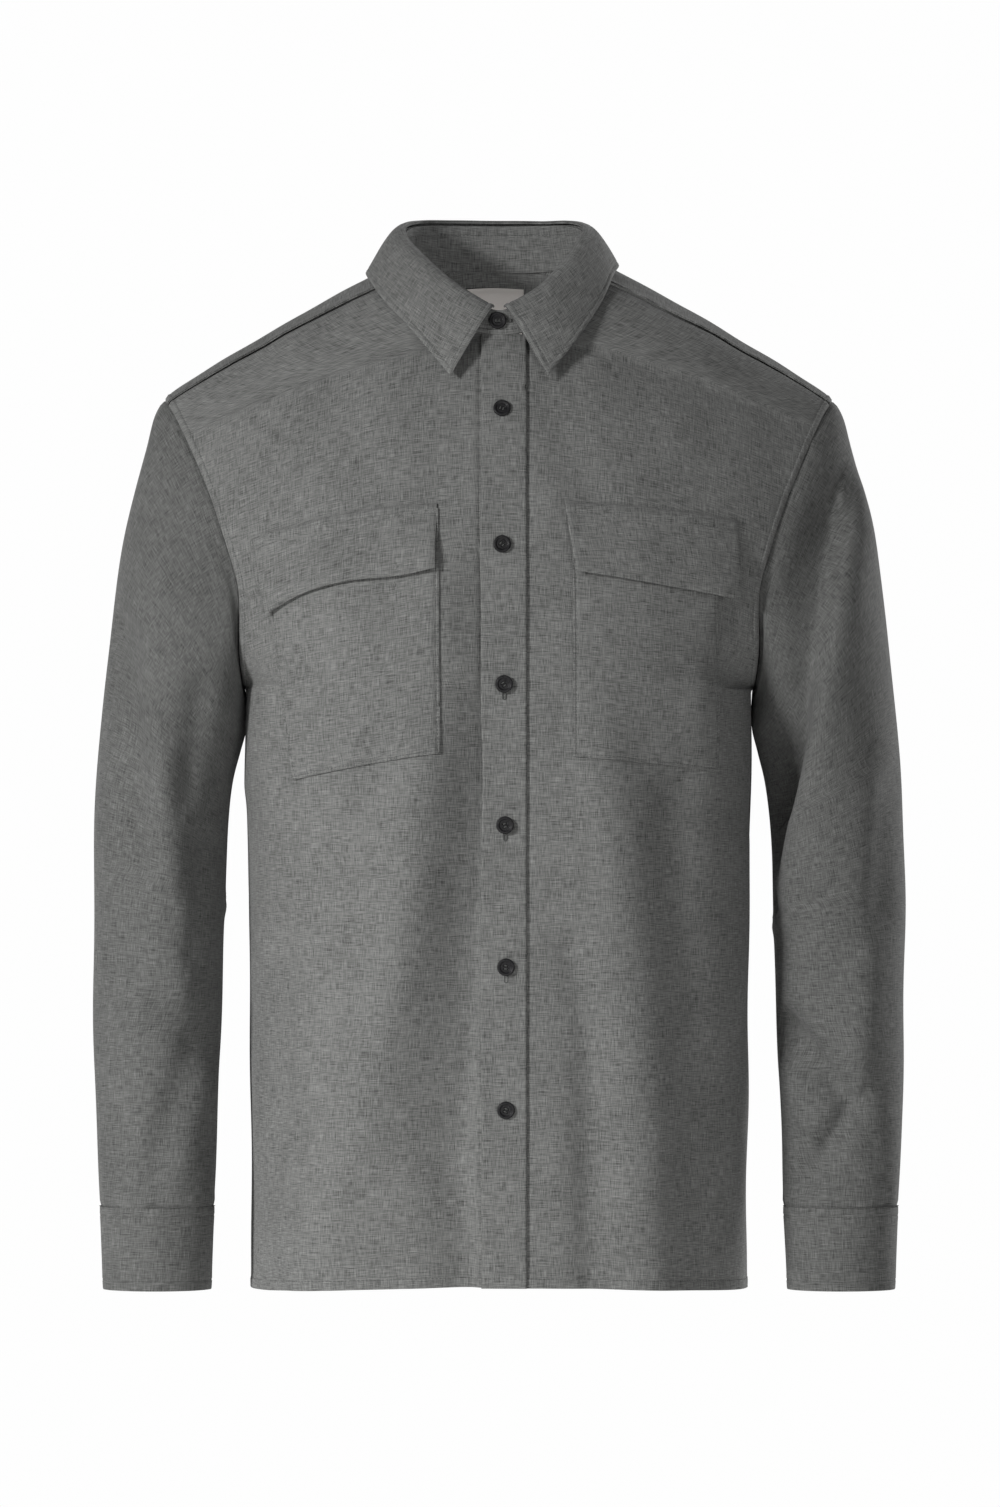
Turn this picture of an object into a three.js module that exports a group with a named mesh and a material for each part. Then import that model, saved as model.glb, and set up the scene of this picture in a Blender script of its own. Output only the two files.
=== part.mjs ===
// A long-sleeved shirt with a buttoned front, standing open and hollow as it is worn.
// Millimetres. +Z is up, the front faces -Y, and +X is the wearer's left.
// The origin lies where the back of the neckline meets the yoke in height, midway between the sleeves.
import * as THREE from "three";

// Cloth and seams
const CLOTH = 2; // thickness of the cloth wall
const CUFF_CLOTH = 3; // a cuff has two layers
const SEAM_GAP = 0.2; // each edge stands back this far from its seam
const LAID_ON = 0.4; // clear space under a strip sewn on a panel
const POCKET_LIFT = 1.4; // clear space under a pocket, whose facets differ from the panel's

// Main heights
const HEM = -750;
const UNDERARM = -311;
const SHOULDER = -100;
const CUFF_SEAM = -688.5;

// Armhole: an egg-shaped loop in height and depth
const ARMHOLE_MIDDLE = (UNDERARM + SHOULDER) / 2;
const ARMHOLE_HALF = (SHOULDER - UNDERARM) / 2;
const ARMHOLE_FRONT = 76;
const ARMHOLE_BACK = 80;
const BACK_WIDTH_EXTRA = 7; // the back is wider between the armholes than the front
const FRONT_SEAM_TURN = THREE.MathUtils.degToRad(166); // where the yoke's front seam meets the armhole
const BACK_SEAM_TURN = THREE.MathUtils.degToRad(112.6); // where its back seam does, from the underarm

// Button placket and buttons
const PLACKET_FROM = -13;
const PLACKET_TO = 20;
const LEFT_FRONT_FROM = 20.4;
const PLACKET_TOP = 1.835; // as a place up the front rows
const BUTTON_DIAMETER = 12.7;
const BUTTON_THICK = 2.6;
const BUTTON_RIM = 1.3;
const BUTTON_SIDES = 18;
const CUFF_BUTTON_TURN = THREE.MathUtils.degToRad(236); // round the cuff, behind and outside

// Half-width of the armhole loop at each height.
const armholeWidths = [
  { at: -311, x: 186 },
  { at: -285, x: 188.5 },
  { at: -255, x: 188.8 },
  { at: -235, x: 190.5 },
  { at: -207, x: 198.5 },
  { at: -176, x: 209 },
  { at: -150, x: 219.5 },
  { at: -127, x: 229.5 },
  { at: -108, x: 238.5 },
  { at: -100, x: 243.5 },
];

// Half-width of the body at the side seam, from the hem up.
const sideSeam = [
  { at: 0, x: 182 },
  { at: 0.3, x: 182.5 },
  { at: 0.7, x: 184 },
  { at: 1, x: 186 },
];

// Rows of the front from the hem (0) past the underarm (1) to the yoke seam (2): where a row starts,
// on the centre line and then on the neckline, and the angle that it turns through to the side.
const frontRows = [
  { at: 0, x: 0, y: -134, z: -743, turn: 90 },
  { at: 0.25, x: 0, y: -137, z: -636, turn: 90 },
  { at: 0.5, x: 0, y: -138, z: -528, turn: 90 },
  { at: 0.75, x: 0, y: -140, z: -419, turn: 90 },
  { at: 1, x: 0, y: -141, z: -308, turn: 90 },
  { at: 1.1, x: 0, y: -140.5, z: -285, turn: 77 },
  { at: 1.2, x: 0, y: -139, z: -261, turn: 68 },
  { at: 1.3, x: 0, y: -137, z: -236, turn: 62 },
  { at: 1.4, x: 0, y: -133.5, z: -209, turn: 58 },
  { at: 1.5, x: 0, y: -128, z: -180, turn: 55 },
  { at: 1.6, x: 0, y: -119, z: -148, turn: 52 },
  { at: 1.7, x: 0, y: -105, z: -112, turn: 48 },
  { at: 1.8, x: 0, y: -84, z: -70, turn: 43 },
  { at: 1.84, x: 0, y: -74.5, z: -53, turn: 40 },
  { at: 1.88, x: 28, y: -70, z: -46, turn: 37 },
  { at: 1.92, x: 49, y: -59, z: -32, turn: 35 },
  { at: 1.96, x: 64, y: -45, z: -18, turn: 32 },
  { at: 2, x: 72, y: -31, z: -8, turn: 30 },
];

// Rows of the yoke from its front seam (0) to its back seam (1): round the neckline, then down the back.
const yokeRows = [
  { at: 0, x: 72, y: -31, z: -8, turn: 30 },
  { at: 0.16, x: 77, y: -6, z: 1, turn: 28 },
  { at: 0.32, x: 73, y: 22, z: 3, turn: 30 },
  { at: 0.48, x: 58, y: 47, z: 2, turn: 36 },
  { at: 0.6, x: 34, y: 62, z: 0.5, turn: 42 },
  { at: 0.72, x: 0, y: 68, z: 0, turn: 48 },
  { at: 0.86, x: 0, y: 88, z: -46, turn: 55 },
  { at: 1, x: 0, y: 107, z: -105, turn: 60 },
];

// Rows of the back from the hem (0) past the underarm (1) to the yoke seam (2), on the centre line.
const backRows = [
  { at: 0, x: 0, y: 120, z: -746, turn: 90 },
  { at: 0.25, x: 0, y: 116, z: -637, turn: 90 },
  { at: 0.5, x: 0, y: 113, z: -528, turn: 90 },
  { at: 0.75, x: 0, y: 117, z: -419, turn: 90 },
  { at: 1, x: 0, y: 124, z: -310, turn: 90 },
  { at: 1.25, x: 0, y: 125, z: -264, turn: 76 },
  { at: 1.5, x: 0, y: 123, z: -208, turn: 67 },
  { at: 1.75, x: 0, y: 117, z: -154, turn: 62 },
  { at: 2, x: 0, y: 107, z: -105, turn: 60 },
];

// Sleeve rings from the armhole (0) to the cuff seam (1): outermost and innermost point, depth and centre.
const sleeveRings = [
  { at: 0, outX: 243.5, outZ: -100, inX: 186, inZ: -311, deep: 77, y: 0 },
  { at: 0.05, outX: 252, outZ: -113, inX: 187.2, inZ: -315, deep: 77, y: 0 },
  { at: 0.1, outX: 259, outZ: -135, inX: 188, inZ: -320, deep: 77, y: 0 },
  { at: 0.17, outX: 267.5, outZ: -167, inX: 188.4, inZ: -329, deep: 76, y: -1 },
  { at: 0.25, outX: 275.5, outZ: -202, inX: 189.5, inZ: -341, deep: 75, y: -2 },
  { at: 0.33, outX: 281.5, outZ: -240, inX: 191.5, inZ: -357, deep: 73, y: -3 },
  { at: 0.42, outX: 287.5, outZ: -291, inX: 195, inZ: -378, deep: 70, y: -4 },
  { at: 0.5, outX: 292, outZ: -341, inX: 198, inZ: -403, deep: 67, y: -5 },
  { at: 0.58, outX: 296, outZ: -394, inX: 199.8, inZ: -433, deep: 64, y: -7 },
  { at: 0.66, outX: 298, outZ: -448, inX: 201.3, inZ: -467, deep: 61, y: -9 },
  { at: 0.74, outX: 298.5, outZ: -507, inX: 203, inZ: -512, deep: 57, y: -12 },
  { at: 0.82, outX: 298, outZ: -566, inX: 205, inZ: -565, deep: 51, y: -16 },
  { at: 0.91, outX: 296, outZ: -627, inX: 207.3, inZ: -627, deep: 45, y: -21 },
  { at: 1, outX: 293.5, outZ: CUFF_SEAM, inX: 209.5, inZ: CUFF_SEAM, deep: 40, y: -26 },
];

// Cuff rings from its seam (0) to its foot (1).
const cuffRings = [
  { at: 0, outX: 294, outZ: CUFF_SEAM, inX: 209, inZ: CUFF_SEAM, deep: 40.6, y: -26 },
  { at: 0.5, outX: 292.8, outZ: -719, inX: 210.2, inZ: -719, deep: 39.6, y: -28 },
  { at: 1, outX: 291.5, outZ: HEM, inX: 211.3, inZ: HEM, deep: 38.8, y: -30 },
];

// Soft folds of the front, as seen from the front: a line from one point to another, how far the fold
// reaches to each side, and how far it rises (or sinks, below zero). x is signed, to the wearer's left.
const frontFolds = [
  { x1: -51, z1: -377, x2: -76, z2: -539, reach: 26, high: 7 },
  { x1: -76, z1: -539, x2: -131, z2: -722, reach: 27, high: 6 },
  { x1: -24, z1: -216, x2: -18, z2: -330, reach: 15, high: -4 },
  { x1: -18, z1: -330, x2: -36, z2: -539, reach: 16, high: -6 },
  { x1: -36, z1: -539, x2: -44, z2: -740, reach: 16, high: -5 },
  { x1: 74, z1: -377, x2: 104, z2: -612, reach: 22, high: 5 },
  { x1: 104, z1: -612, x2: 111, z2: -740, reach: 22, high: 5 },
  { x1: 66, z1: -539, x2: 68, z2: -740, reach: 14, high: -4 },
  { x1: 129, z1: -392, x2: 142, z2: -740, reach: 18, high: -5 },
  { x1: -172, z1: -300, x2: -182, z2: -362, reach: 11, high: 4 },
  { x1: 176, z1: -292, x2: 184, z2: -350, reach: 14, high: -5 },
];

const backFolds = [
  { x1: -60, z1: -330, x2: -84, z2: -700, reach: 26, high: 6 },
  { x1: 52, z1: -300, x2: 78, z2: -720, reach: 25, high: 6 },
  { x1: -4, z1: -380, x2: 4, z2: -720, reach: 24, high: -5 },
  { x1: -134, z1: -420, x2: -128, z2: -730, reach: 18, high: -5 },
  { x1: 128, z1: -400, x2: 136, z2: -720, reach: 18, high: -5 },
];

// Folds of the sleeves. side is -1 on the wearer's right, and face is -1 in front and 1 behind.
const sleeveFolds = [
  { side: 1, face: -1, x1: 238, z1: -190, x2: 226, z2: -330, reach: 20, high: -9 },
  { side: 1, face: -1, x1: 226, z1: -330, x2: 207, z2: -470, reach: 21, high: -11 },
  { side: 1, face: -1, x1: 208, z1: -562, x2: 252, z2: -630, reach: 16, high: -8 },
  { side: -1, face: -1, x1: -277, z1: -289, x2: -269, z2: -450, reach: 15, high: -5 },
  { side: -1, face: -1, x1: -246, z1: -370, x2: -238, z2: -440, reach: 19, high: 5 },
  { side: -1, face: -1, x1: -204, z1: -455, x2: -222, z2: -505, reach: 14, high: -6 },
  { side: -1, face: -1, x1: -214, z1: -570, x2: -243, z2: -650, reach: 13, high: -5 },
  { side: 1, face: 1, x1: 214, z1: -450, x2: 262, z2: -500, reach: 17, high: -7 },
  { side: -1, face: 1, x1: -212, z1: -440, x2: -262, z2: -505, reach: 17, high: -7 },
  { side: 1, face: 1, x1: 216, z1: -600, x2: 262, z2: -640, reach: 15, high: -5 },
  { side: -1, face: 1, x1: -216, z1: -590, x2: -260, z2: -640, reach: 15, high: -5 },
];

// Pockets and flaps: the corners of each as seen from the front, inner side first.
const laidOn = [
  { name: "pocket_right", topIn: [-43.8, -181], topOut: [-173, -199], footIn: [-42.8, -358], footOut: [-148.6, -377] },
  { name: "pocket_left", topIn: [52.6, -181], topOut: [157.6, -189], footIn: [53.6, -360], footOut: [158.5, -371] },
  { name: "flap_right", topIn: [-44.8, -177], topOut: [-178, -202], footIn: [-46.3, -225], footOut: [-165.6, -257] },
  { name: "flap_left", topIn: [47.2, -177], topOut: [173.5, -189], footIn: [54, -227], footOut: [171, -246] },
];

// Buttons of the placket, down its middle line.
const placketButtons = [
  { name: "button_2", x: 2.2, z: -109.5 },
  { name: "button_3", x: 2.2, z: -207.5 },
  { name: "button_4", x: 3.6, z: -307.8 },
  { name: "button_5", x: 4.3, z: -409.3 },
  { name: "button_6", x: 5, z: -511.5 },
  { name: "button_7", x: 5, z: -614.5 },
];

// The collar: foot of the stand on the neckline and top of the stand, from the middle of the back (0)
// round to the middle of the front (1), for one side.
const collarLine = [
  { at: 0, footX: 0, footY: 67.5, footZ: 1.2, topX: 0, topY: 63, topZ: 31.5 },
  { at: 0.17, footX: 33, footY: 62, footZ: 1.8, topX: 33, topY: 57, topZ: 31.5 },
  { at: 0.34, footX: 58, footY: 46, footZ: 3.4, topX: 58, topY: 39, topZ: 30.5 },
  { at: 0.5, footX: 73, footY: 20, footZ: 4.5, topX: 70, topY: 12, topZ: 26 },
  { at: 0.62, footX: 76, footY: -7, footZ: 2.4, topX: 68, topY: -14, topZ: 17 },
  { at: 0.74, footX: 69.5, footY: -35, footZ: -9, topX: 56, topY: -40, topZ: 2 },
  { at: 0.86, footX: 47.5, footY: -60, footZ: -30.2, topX: 35, topY: -60, topZ: -16 },
  { at: 0.93, footX: 25, footY: -71, footZ: -43.8, topX: 18, topY: -69, topZ: -28 },
  { at: 1, footX: 0, footY: -74.5, footZ: -49.2, topX: 0, topY: -72.5, topZ: -36 },
];

// The free edge of the collar leaf on one side, from the middle of the back (0) to the point (1).
const leafEdge = [
  { at: 0, x: 0, y: 86, z: -14 },
  { at: 0.17, x: 40, y: 81, z: -13 },
  { at: 0.34, x: 74, y: 60, z: -9.5 },
  { at: 0.5, x: 93, y: 22, z: -8 },
  { at: 0.62, x: 94.5, y: -12, z: -11 },
  { at: 0.74, x: 84, y: -48, z: -27 },
  { at: 0.86, x: 62, y: -76, z: -50 },
  { at: 1, x: 34.5, y: -96, z: -78.5 },
];
const STAND_CLOTH = 2.4;
const LEAF_CLOTH = 2.4;
const LEAF_CLEAR = 2.2; // from the leaf to the stand, the yoke and the fronts
const LEAF_FRONT = 0.975; // where the leaf's front edges stand on the collar line
const LEAF_ABOVE = 1.2; // how far above the stand it starts
const LEAF_ROLL = 9; // how far out the leaf starts before it turns down
const STAND_LAP = 3.1; // the stand's outer end lies this far in front of its inner end

// Neck label
const LABEL_WIDE = 44;
const LABEL_X = -3.7;
const LABEL_TOP = -13;
const LABEL_HIGH = 40;
const LABEL_THICK = 1;

const smooth = (value) => THREE.MathUtils.smoothstep(value, 0, 1);
const mix = THREE.MathUtils.lerp;

// The value of a named column between the rows of a table, on a smooth curve through them.
// evenStart and evenEnd say that the curve runs level through the first or the last row.
function along(rows, column, at, evenStart = false, evenEnd = false) {
  const last = rows.length - 1;
  const place = THREE.MathUtils.clamp(at, rows[0].at, rows[last].at);
  let i = 0;
  while (i < last - 1 && place > rows[i + 1].at) i += 1;
  const slope = (k) => {
    if ((evenStart && k === 0) || (evenEnd && k === last)) return 0;
    const from = Math.max(k - 1, 0);
    const to = Math.min(k + 1, last);
    return (rows[to][column] - rows[from][column]) / (rows[to].at - rows[from].at);
  };
  const span = rows[i + 1].at - rows[i].at;
  const t = (place - rows[i].at) / span;
  const start = (1 + 2 * t) * (1 - t) ** 2 * rows[i][column] + t * (1 - t) ** 2 * span * slope(i);
  return start + t * t * (3 - 2 * t) * rows[i + 1][column] + t * t * (t - 1) * span * slope(i + 1);
}

// How far the folds of a list raise the cloth at a point seen from the front.
function foldHeight(folds, x, z) {
  let height = 0;
  for (const fold of folds) {
    const dx = fold.x2 - fold.x1;
    const dz = fold.z2 - fold.z1;
    const share = ((x - fold.x1) * dx + (z - fold.z1) * dz) / (dx * dx + dz * dz);
    const t = THREE.MathUtils.clamp(share, 0, 1);
    const away = Math.hypot(x - fold.x1 - t * dx, z - fold.z1 - t * dz) / fold.reach;
    height += fold.high * Math.exp(-away * away);
  }
  return height;
}

// A surface is a function of two numbers that returns a point. Its normal comes from two small steps.
function normalOf(surface, a, b, outward) {
  const step = 1e-3;
  const da = surface(a + step, b).sub(surface(a - step, b));
  const db = surface(a, b + step).sub(surface(a, b - step));
  const normal = db.cross(da).normalize();
  return outward ? normal : normal.negate();
}

// A point of the armhole loop: turn is 0 at the underarm, half pi in front, pi on the shoulder.
function armhole(turn) {
  const z = ARMHOLE_MIDDLE - ARMHOLE_HALF * Math.cos(turn);
  const inFront = Math.sin(turn) >= 0;
  const t = inFront ? turn : 2 * Math.PI - turn;
  const y = inFront
    ? -ARMHOLE_FRONT * Math.sin(t + 0.3 * Math.sin(t))
    : ARMHOLE_BACK * Math.sin(t + 0.2 * Math.sin(t));
  const x = along(armholeWidths, "x", z) + (inFront ? 0 : BACK_WIDTH_EXTRA * Math.sin(t) ** 2);
  return new THREE.Vector3(x, y, z);
}

// Where a row of the front or the back ends: on the side seam below the underarm, on the armhole above.
function rowEnd(at, seamTurn, behind) {
  if (at <= 1) return new THREE.Vector3(along(sideSeam, "x", at), 0, mix(HEM, UNDERARM, at));
  const turn = (at - 1) * seamTurn;
  return armhole(behind ? 2 * Math.PI - turn : turn);
}

const LEVEL_WITHIN = 30; // a row that starts nearer the centre than this leaves it level
// One point of a row: across is 0 where the row starts and 1 where it ends. The row is part of an oval,
// a little squarer than an ellipse, and a row on the shoulder drops faster towards its end.
function rowPoint(start, end, turn, square, drop, across) {
  const angle = THREE.MathUtils.degToRad(turn);
  const fuller = 1 + square * Math.sin(Math.PI * across) ** 2;
  const out = (Math.sin(angle * across) / Math.sin(angle)) * fuller;
  const forward = ((Math.cos(angle * across) - Math.cos(angle)) / (1 - Math.cos(angle))) * fuller;
  const bend = 1 + Math.max(1 - start.x / LEVEL_WITHIN, 0);
  const down = (1 - drop) * Math.abs(out) ** bend + drop * out ** 4;
  return new THREE.Vector3(
    mix(start.x, end.x, out),
    end.y + (start.y - end.y) * forward,
    mix(start.z, end.z, down),
  );
}

const startX = (rows, at) => Math.max(along(rows, "x", at), 0);
const startOf = (rows, at) => new THREE.Vector3(startX(rows, at), along(rows, "y", at), along(rows, "z", at));
const squareness = (at) => 0.06 * (1 - smooth((at - 1) / 0.6));
const mirrored = (point, side) => (side < 0 ? point.setX(-point.x) : point);

// The front, yoke and back of one side. side is 1 on the wearer's left and -1 on the right.
function frontCloth(side) {
  const plain = (across, at) => {
    const drop = 0.14 * smooth((at - 1.5) / 0.5);
    const end = rowEnd(at, FRONT_SEAM_TURN, false);
    const turn = along(frontRows, "turn", at);
    return mirrored(rowPoint(startOf(frontRows, at), end, turn, squareness(at), drop, across), side);
  };
  return folded(plain, frontFolds, side < 0);
}

function backCloth(side) {
  const plain = (across, at) => {
    const drop = 0.05 * smooth((at - 1.5) / 0.5);
    const end = rowEnd(at, BACK_SEAM_TURN, true);
    const turn = along(backRows, "turn", at);
    return mirrored(rowPoint(startOf(backRows, at), end, turn, squareness(at), drop, across), side);
  };
  return folded(plain, backFolds, side > 0);
}

function yokeCloth(side) {
  return (across, at) => {
    const end = armhole(mix(FRONT_SEAM_TURN, 2 * Math.PI - BACK_SEAM_TURN, at));
    const drop = mix(0.14, 0.05, smooth(at));
    const point = rowPoint(startOf(yokeRows, at), end, along(yokeRows, "turn", at), 0, drop, across);
    return mirrored(point, side);
  };
}

// A surface with its folds, which die out at the armhole and the underarm so that the seam keeps its line.
function folded(plain, folds, outward) {
  return (across, at) => {
    const point = plain(across, at);
    const near = mix(1, smooth((1 - across) / 0.14), smooth((at - 0.86) / 0.14));
    const height = foldHeight(folds, point.x, point.z) * near;
    return point.addScaledVector(normalOf(plain, across, at, outward), height);
  };
}

// A ring of a tube: turn goes from the inner side (0) through the front to the outer side (pi).
function ringPoint(rings, turn, at, skew) {
  const out = new THREE.Vector3(along(rings, "outX", at), 0, along(rings, "outZ", at));
  const inner = new THREE.Vector3(along(rings, "inX", at), 0, along(rings, "inZ", at));
  const point = inner.lerp(out, 0.5 - 0.5 * Math.cos(turn));
  const depth = Math.sin(turn + skew * Math.sin(turn));
  point.y = along(rings, "y", at) - along(rings, "deep", at) * depth;
  return point;
}

// The sleeve of one side, with its first ring on the armhole and its folds further down.
function sleeveCloth(side) {
  const HEAD = 0.24;
  const plain = (turn, at) => {
    const skew = 0.3 * (1 - smooth(at / 0.5));
    const point = ringPoint(sleeveRings, turn, at, skew);
    const pull = 1 - smooth(at / HEAD);
    const seam = armhole(turn).sub(ringPoint(sleeveRings, turn, 0, 0.3));
    return mirrored(point.addScaledVector(seam, pull), side);
  };
  return (turn, at) => {
    const point = plain(turn, at);
    const facing = -Math.sign(Math.sin(turn)) || -1;
    const mine = sleeveFolds.filter((fold) => fold.side === side && fold.face === facing);
    const fade = smooth(Math.abs(Math.sin(turn)) / 0.45) * smooth(at / 0.12);
    const height = foldHeight(mine, point.x, point.z) * fade;
    return point.addScaledVector(normalOf(plain, turn, at, side > 0), height);
  };
}

const cuffCloth = (side) => (turn, at) => mirrored(ringPoint(cuffRings, turn, at, 0), side);

// A closed solid between an outer and an inner grid of points. A ring joins its last column to its first.
function solidBetween([outer, inner], ring = false) {
  const rows = outer.length;
  const columns = outer[0].length;
  const points = [...outer.flat(), ...inner.flat()];
  const index = [];
  const at = (layer, i, j) => layer * rows * columns + i * columns + (j % columns);
  const quad = (a, b, c, d) => index.push(a, b, c, a, c, d);
  const lastColumn = ring ? columns : columns - 1;
  for (let i = 0; i < rows - 1; i += 1) {
    for (let j = 0; j < lastColumn; j += 1) {
      quad(at(0, i, j), at(0, i, j + 1), at(0, i + 1, j + 1), at(0, i + 1, j));
      quad(at(1, i, j), at(1, i + 1, j), at(1, i + 1, j + 1), at(1, i, j + 1));
    }
    if (!ring) {
      const end = columns - 1;
      quad(at(0, i, 0), at(0, i + 1, 0), at(1, i + 1, 0), at(1, i, 0));
      quad(at(0, i, end), at(1, i, end), at(1, i + 1, end), at(0, i + 1, end));
    }
  }
  const top = rows - 1;
  for (let j = 0; j < lastColumn; j += 1) {
    quad(at(0, 0, j), at(1, 0, j), at(1, 0, j + 1), at(0, 0, j + 1));
    quad(at(0, top, j), at(0, top, j + 1), at(1, top, j + 1), at(1, top, j));
  }
  return facingOut({ points, index });
}

// Turns a solid's triangles over if they face inwards.
function facingOut(solid) {
  const { points, index } = solid;
  let volume = 0;
  for (let k = 0; k < index.length; k += 3) {
    const [a, b, c] = [0, 1, 2].map((corner) => points[index[k + corner]]);
    volume += a.dot(b.clone().cross(c));
  }
  if (volume < 0) index.reverse();
  return solid;
}

// Two halves that meet on the centre plane, as one solid: the faces between them go and their points merge.
function joinedHalves(halves) {
  const points = [];
  const index = [];
  const known = new Map();
  for (const half of halves) {
    const onCentre = half.points.map((point) => Math.abs(point.x) < 1e-6);
    const renumbered = half.points.map((point, i) => {
      const key = onCentre[i] ? `${point.y.toFixed(5)} ${point.z.toFixed(5)}` : null;
      if (key !== null && known.has(key)) return known.get(key);
      if (key !== null) known.set(key, points.length);
      points.push(point);
      return points.length - 1;
    });
    for (let k = 0; k < half.index.length; k += 3) {
      const corners = half.index.slice(k, k + 3);
      if (!corners.every((corner) => onCentre[corner])) index.push(...corners.map((i) => renumbered[i]));
    }
  }
  return { points, index };
}

// A solid turned about +Z from its profile of radius and height, which starts and ends on the axis.
function turnedSolid(profile, sides) {
  const points = [new THREE.Vector3(0, 0, profile[0][1])];
  const index = [];
  const rings = profile.slice(1, -1);
  for (const [radius, height] of rings) {
    for (let j = 0; j < sides; j += 1) {
      const angle = (2 * Math.PI * j) / sides;
      points.push(new THREE.Vector3(radius * Math.cos(angle), radius * Math.sin(angle), height));
    }
  }
  points.push(new THREE.Vector3(0, 0, profile.at(-1)[1]));
  const at = (ring, j) => 1 + ring * sides + (j % sides);
  for (let j = 0; j < sides; j += 1) {
    index.push(0, at(0, j + 1), at(0, j));
    index.push(points.length - 1, at(rings.length - 1, j), at(rings.length - 1, j + 1));
    for (let ring = 0; ring < rings.length - 1; ring += 1) {
      index.push(at(ring, j), at(ring, j + 1), at(ring + 1, j + 1));
      index.push(at(ring, j), at(ring + 1, j + 1), at(ring + 1, j));
    }
  }
  return facingOut({ points, index });
}

function meshOf(name, { points, index }, material) {
  const geometry = new THREE.BufferGeometry().setFromPoints(points);
  geometry.setIndex(index);
  geometry.computeVertexNormals();
  const mesh = new THREE.Mesh(geometry, material());
  mesh.name = name;
  return mesh;
}

// Outer and inner points of a wall over a surface. inset says how far an edge point moves, and which way
// its wall runs, where the plain normal isn't right.
function wallOver(surface, places, outward, lift, thick, edge = () => null) {
  const outer = [];
  const inner = [];
  for (const row of places) {
    const tops = [];
    const feet = [];
    for (const [a, b] of row) {
      const normal = normalOf(surface, a, b, outward);
      const special = edge(a, b, normal);
      const move = special ? special.move : new THREE.Vector3();
      const wall = special ? special.wall : normal;
      const point = surface(a, b).add(move);
      tops.push(point.clone().addScaledVector(wall, lift + thick));
      feet.push(point.addScaledVector(wall, lift));
    }
    outer.push(tops);
    inner.push(feet);
  }
  return [outer, inner];
}

const spread = (from, to, count) => Array.from({ length: count + 1 }, (_, i) => mix(from, to, i / count));

// Rows up the front and the back, and columns round the sleeve, which share their places on the armhole.
const BELOW = [0, 0.12, 0.25, 0.38, 0.51, 0.63, 0.74, 0.83, 0.92, 1];
const FRONT_ABOVE = [1.1, 1.2, 1.3, 1.4, 1.5, 1.6, 1.7, 1.78, 1.84, 1.92, 2];
const BACK_ABOVE = [1.12, 1.24, 1.38, 1.54, 1.7, 1.86, 2];
const SEAM_STEP = 0.02; // how far from a seam its edges' direction is taken
const YOKE_ROWS = [0, 0.16, 0.32, 0.48, 0.6, 0.72, 0.79, 0.86, 0.93, 1];
const sleeveTurns = [
  0,
  ...FRONT_ABOVE.map((at) => (at - 1) * FRONT_SEAM_TURN),
  ...YOKE_ROWS.slice(1).map((at) => mix(FRONT_SEAM_TURN, 2 * Math.PI - BACK_SEAM_TURN, at)),
  ...BACK_ABOVE.slice(0, -1).reverse().map((at) => 2 * Math.PI - (at - 1) * BACK_SEAM_TURN),
];

// How the walls meet at the armhole: each edge stands back from the seam, across the plane halfway between
// the two cloths. Where they run on smoothly the walls share that plane, and where they fold sharply each
// wall ends square.
function armholeSeam(side, turn, body, across, at, bodyOutward) {
  const sleeve = sleeveCloth(side);
  const sleeveNormal = normalOf(sleeve, turn, 0.004, side > 0);
  const bodyNormal = normalOf(body, across, at, bodyOutward);
  const seam = body(1, at);
  const bodyRun = seam.clone().sub(body(0.97, at)).normalize();
  const sleeveRun = sleeve(turn, 0.02).sub(sleeve(turn, 0)).normalize();
  const apart = bodyRun.add(sleeveRun).add(bodyNormal).sub(sleeveNormal).normalize();
  const share = smooth(bodyNormal.dot(sleeveNormal));
  const bodyWall = bodyNormal.clone().addScaledVector(sleeveNormal, share).normalize();
  const sleeveWall = sleeveNormal.clone().addScaledVector(bodyNormal, share).normalize();
  return { seam, apart, bodyWall, sleeveWall };
}

const cloths = {};
for (const side of [-1, 1]) {
  cloths[side] = {
    front: frontCloth(side),
    back: backCloth(side),
    yoke: yokeCloth(side),
    sleeve: sleeveCloth(side),
    cuff: cuffCloth(side),
  };
}

// The piece of the body, and the place in it, that an armhole turn belongs to.
function bodyAtTurn(side, turn) {
  const own = cloths[side];
  if (turn <= FRONT_SEAM_TURN + 1e-9) {
    return { body: own.front, at: 1 + turn / FRONT_SEAM_TURN, outward: side < 0 };
  }
  const back = 2 * Math.PI - BACK_SEAM_TURN;
  if (turn < back - 1e-9) {
    return { body: own.yoke, at: (turn - FRONT_SEAM_TURN) / (back - FRONT_SEAM_TURN), outward: side < 0 };
  }
  return { body: own.back, at: 1 + (2 * Math.PI - turn) / BACK_SEAM_TURN, outward: side > 0 };
}

function seamAtTurn(side, turn) {
  const { body, at, outward } = bodyAtTurn(side, turn);
  const inside = THREE.MathUtils.clamp(at, 0.004, 1.996);
  return armholeSeam(side, turn, body, 0.99, inside, outward);
}

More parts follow.
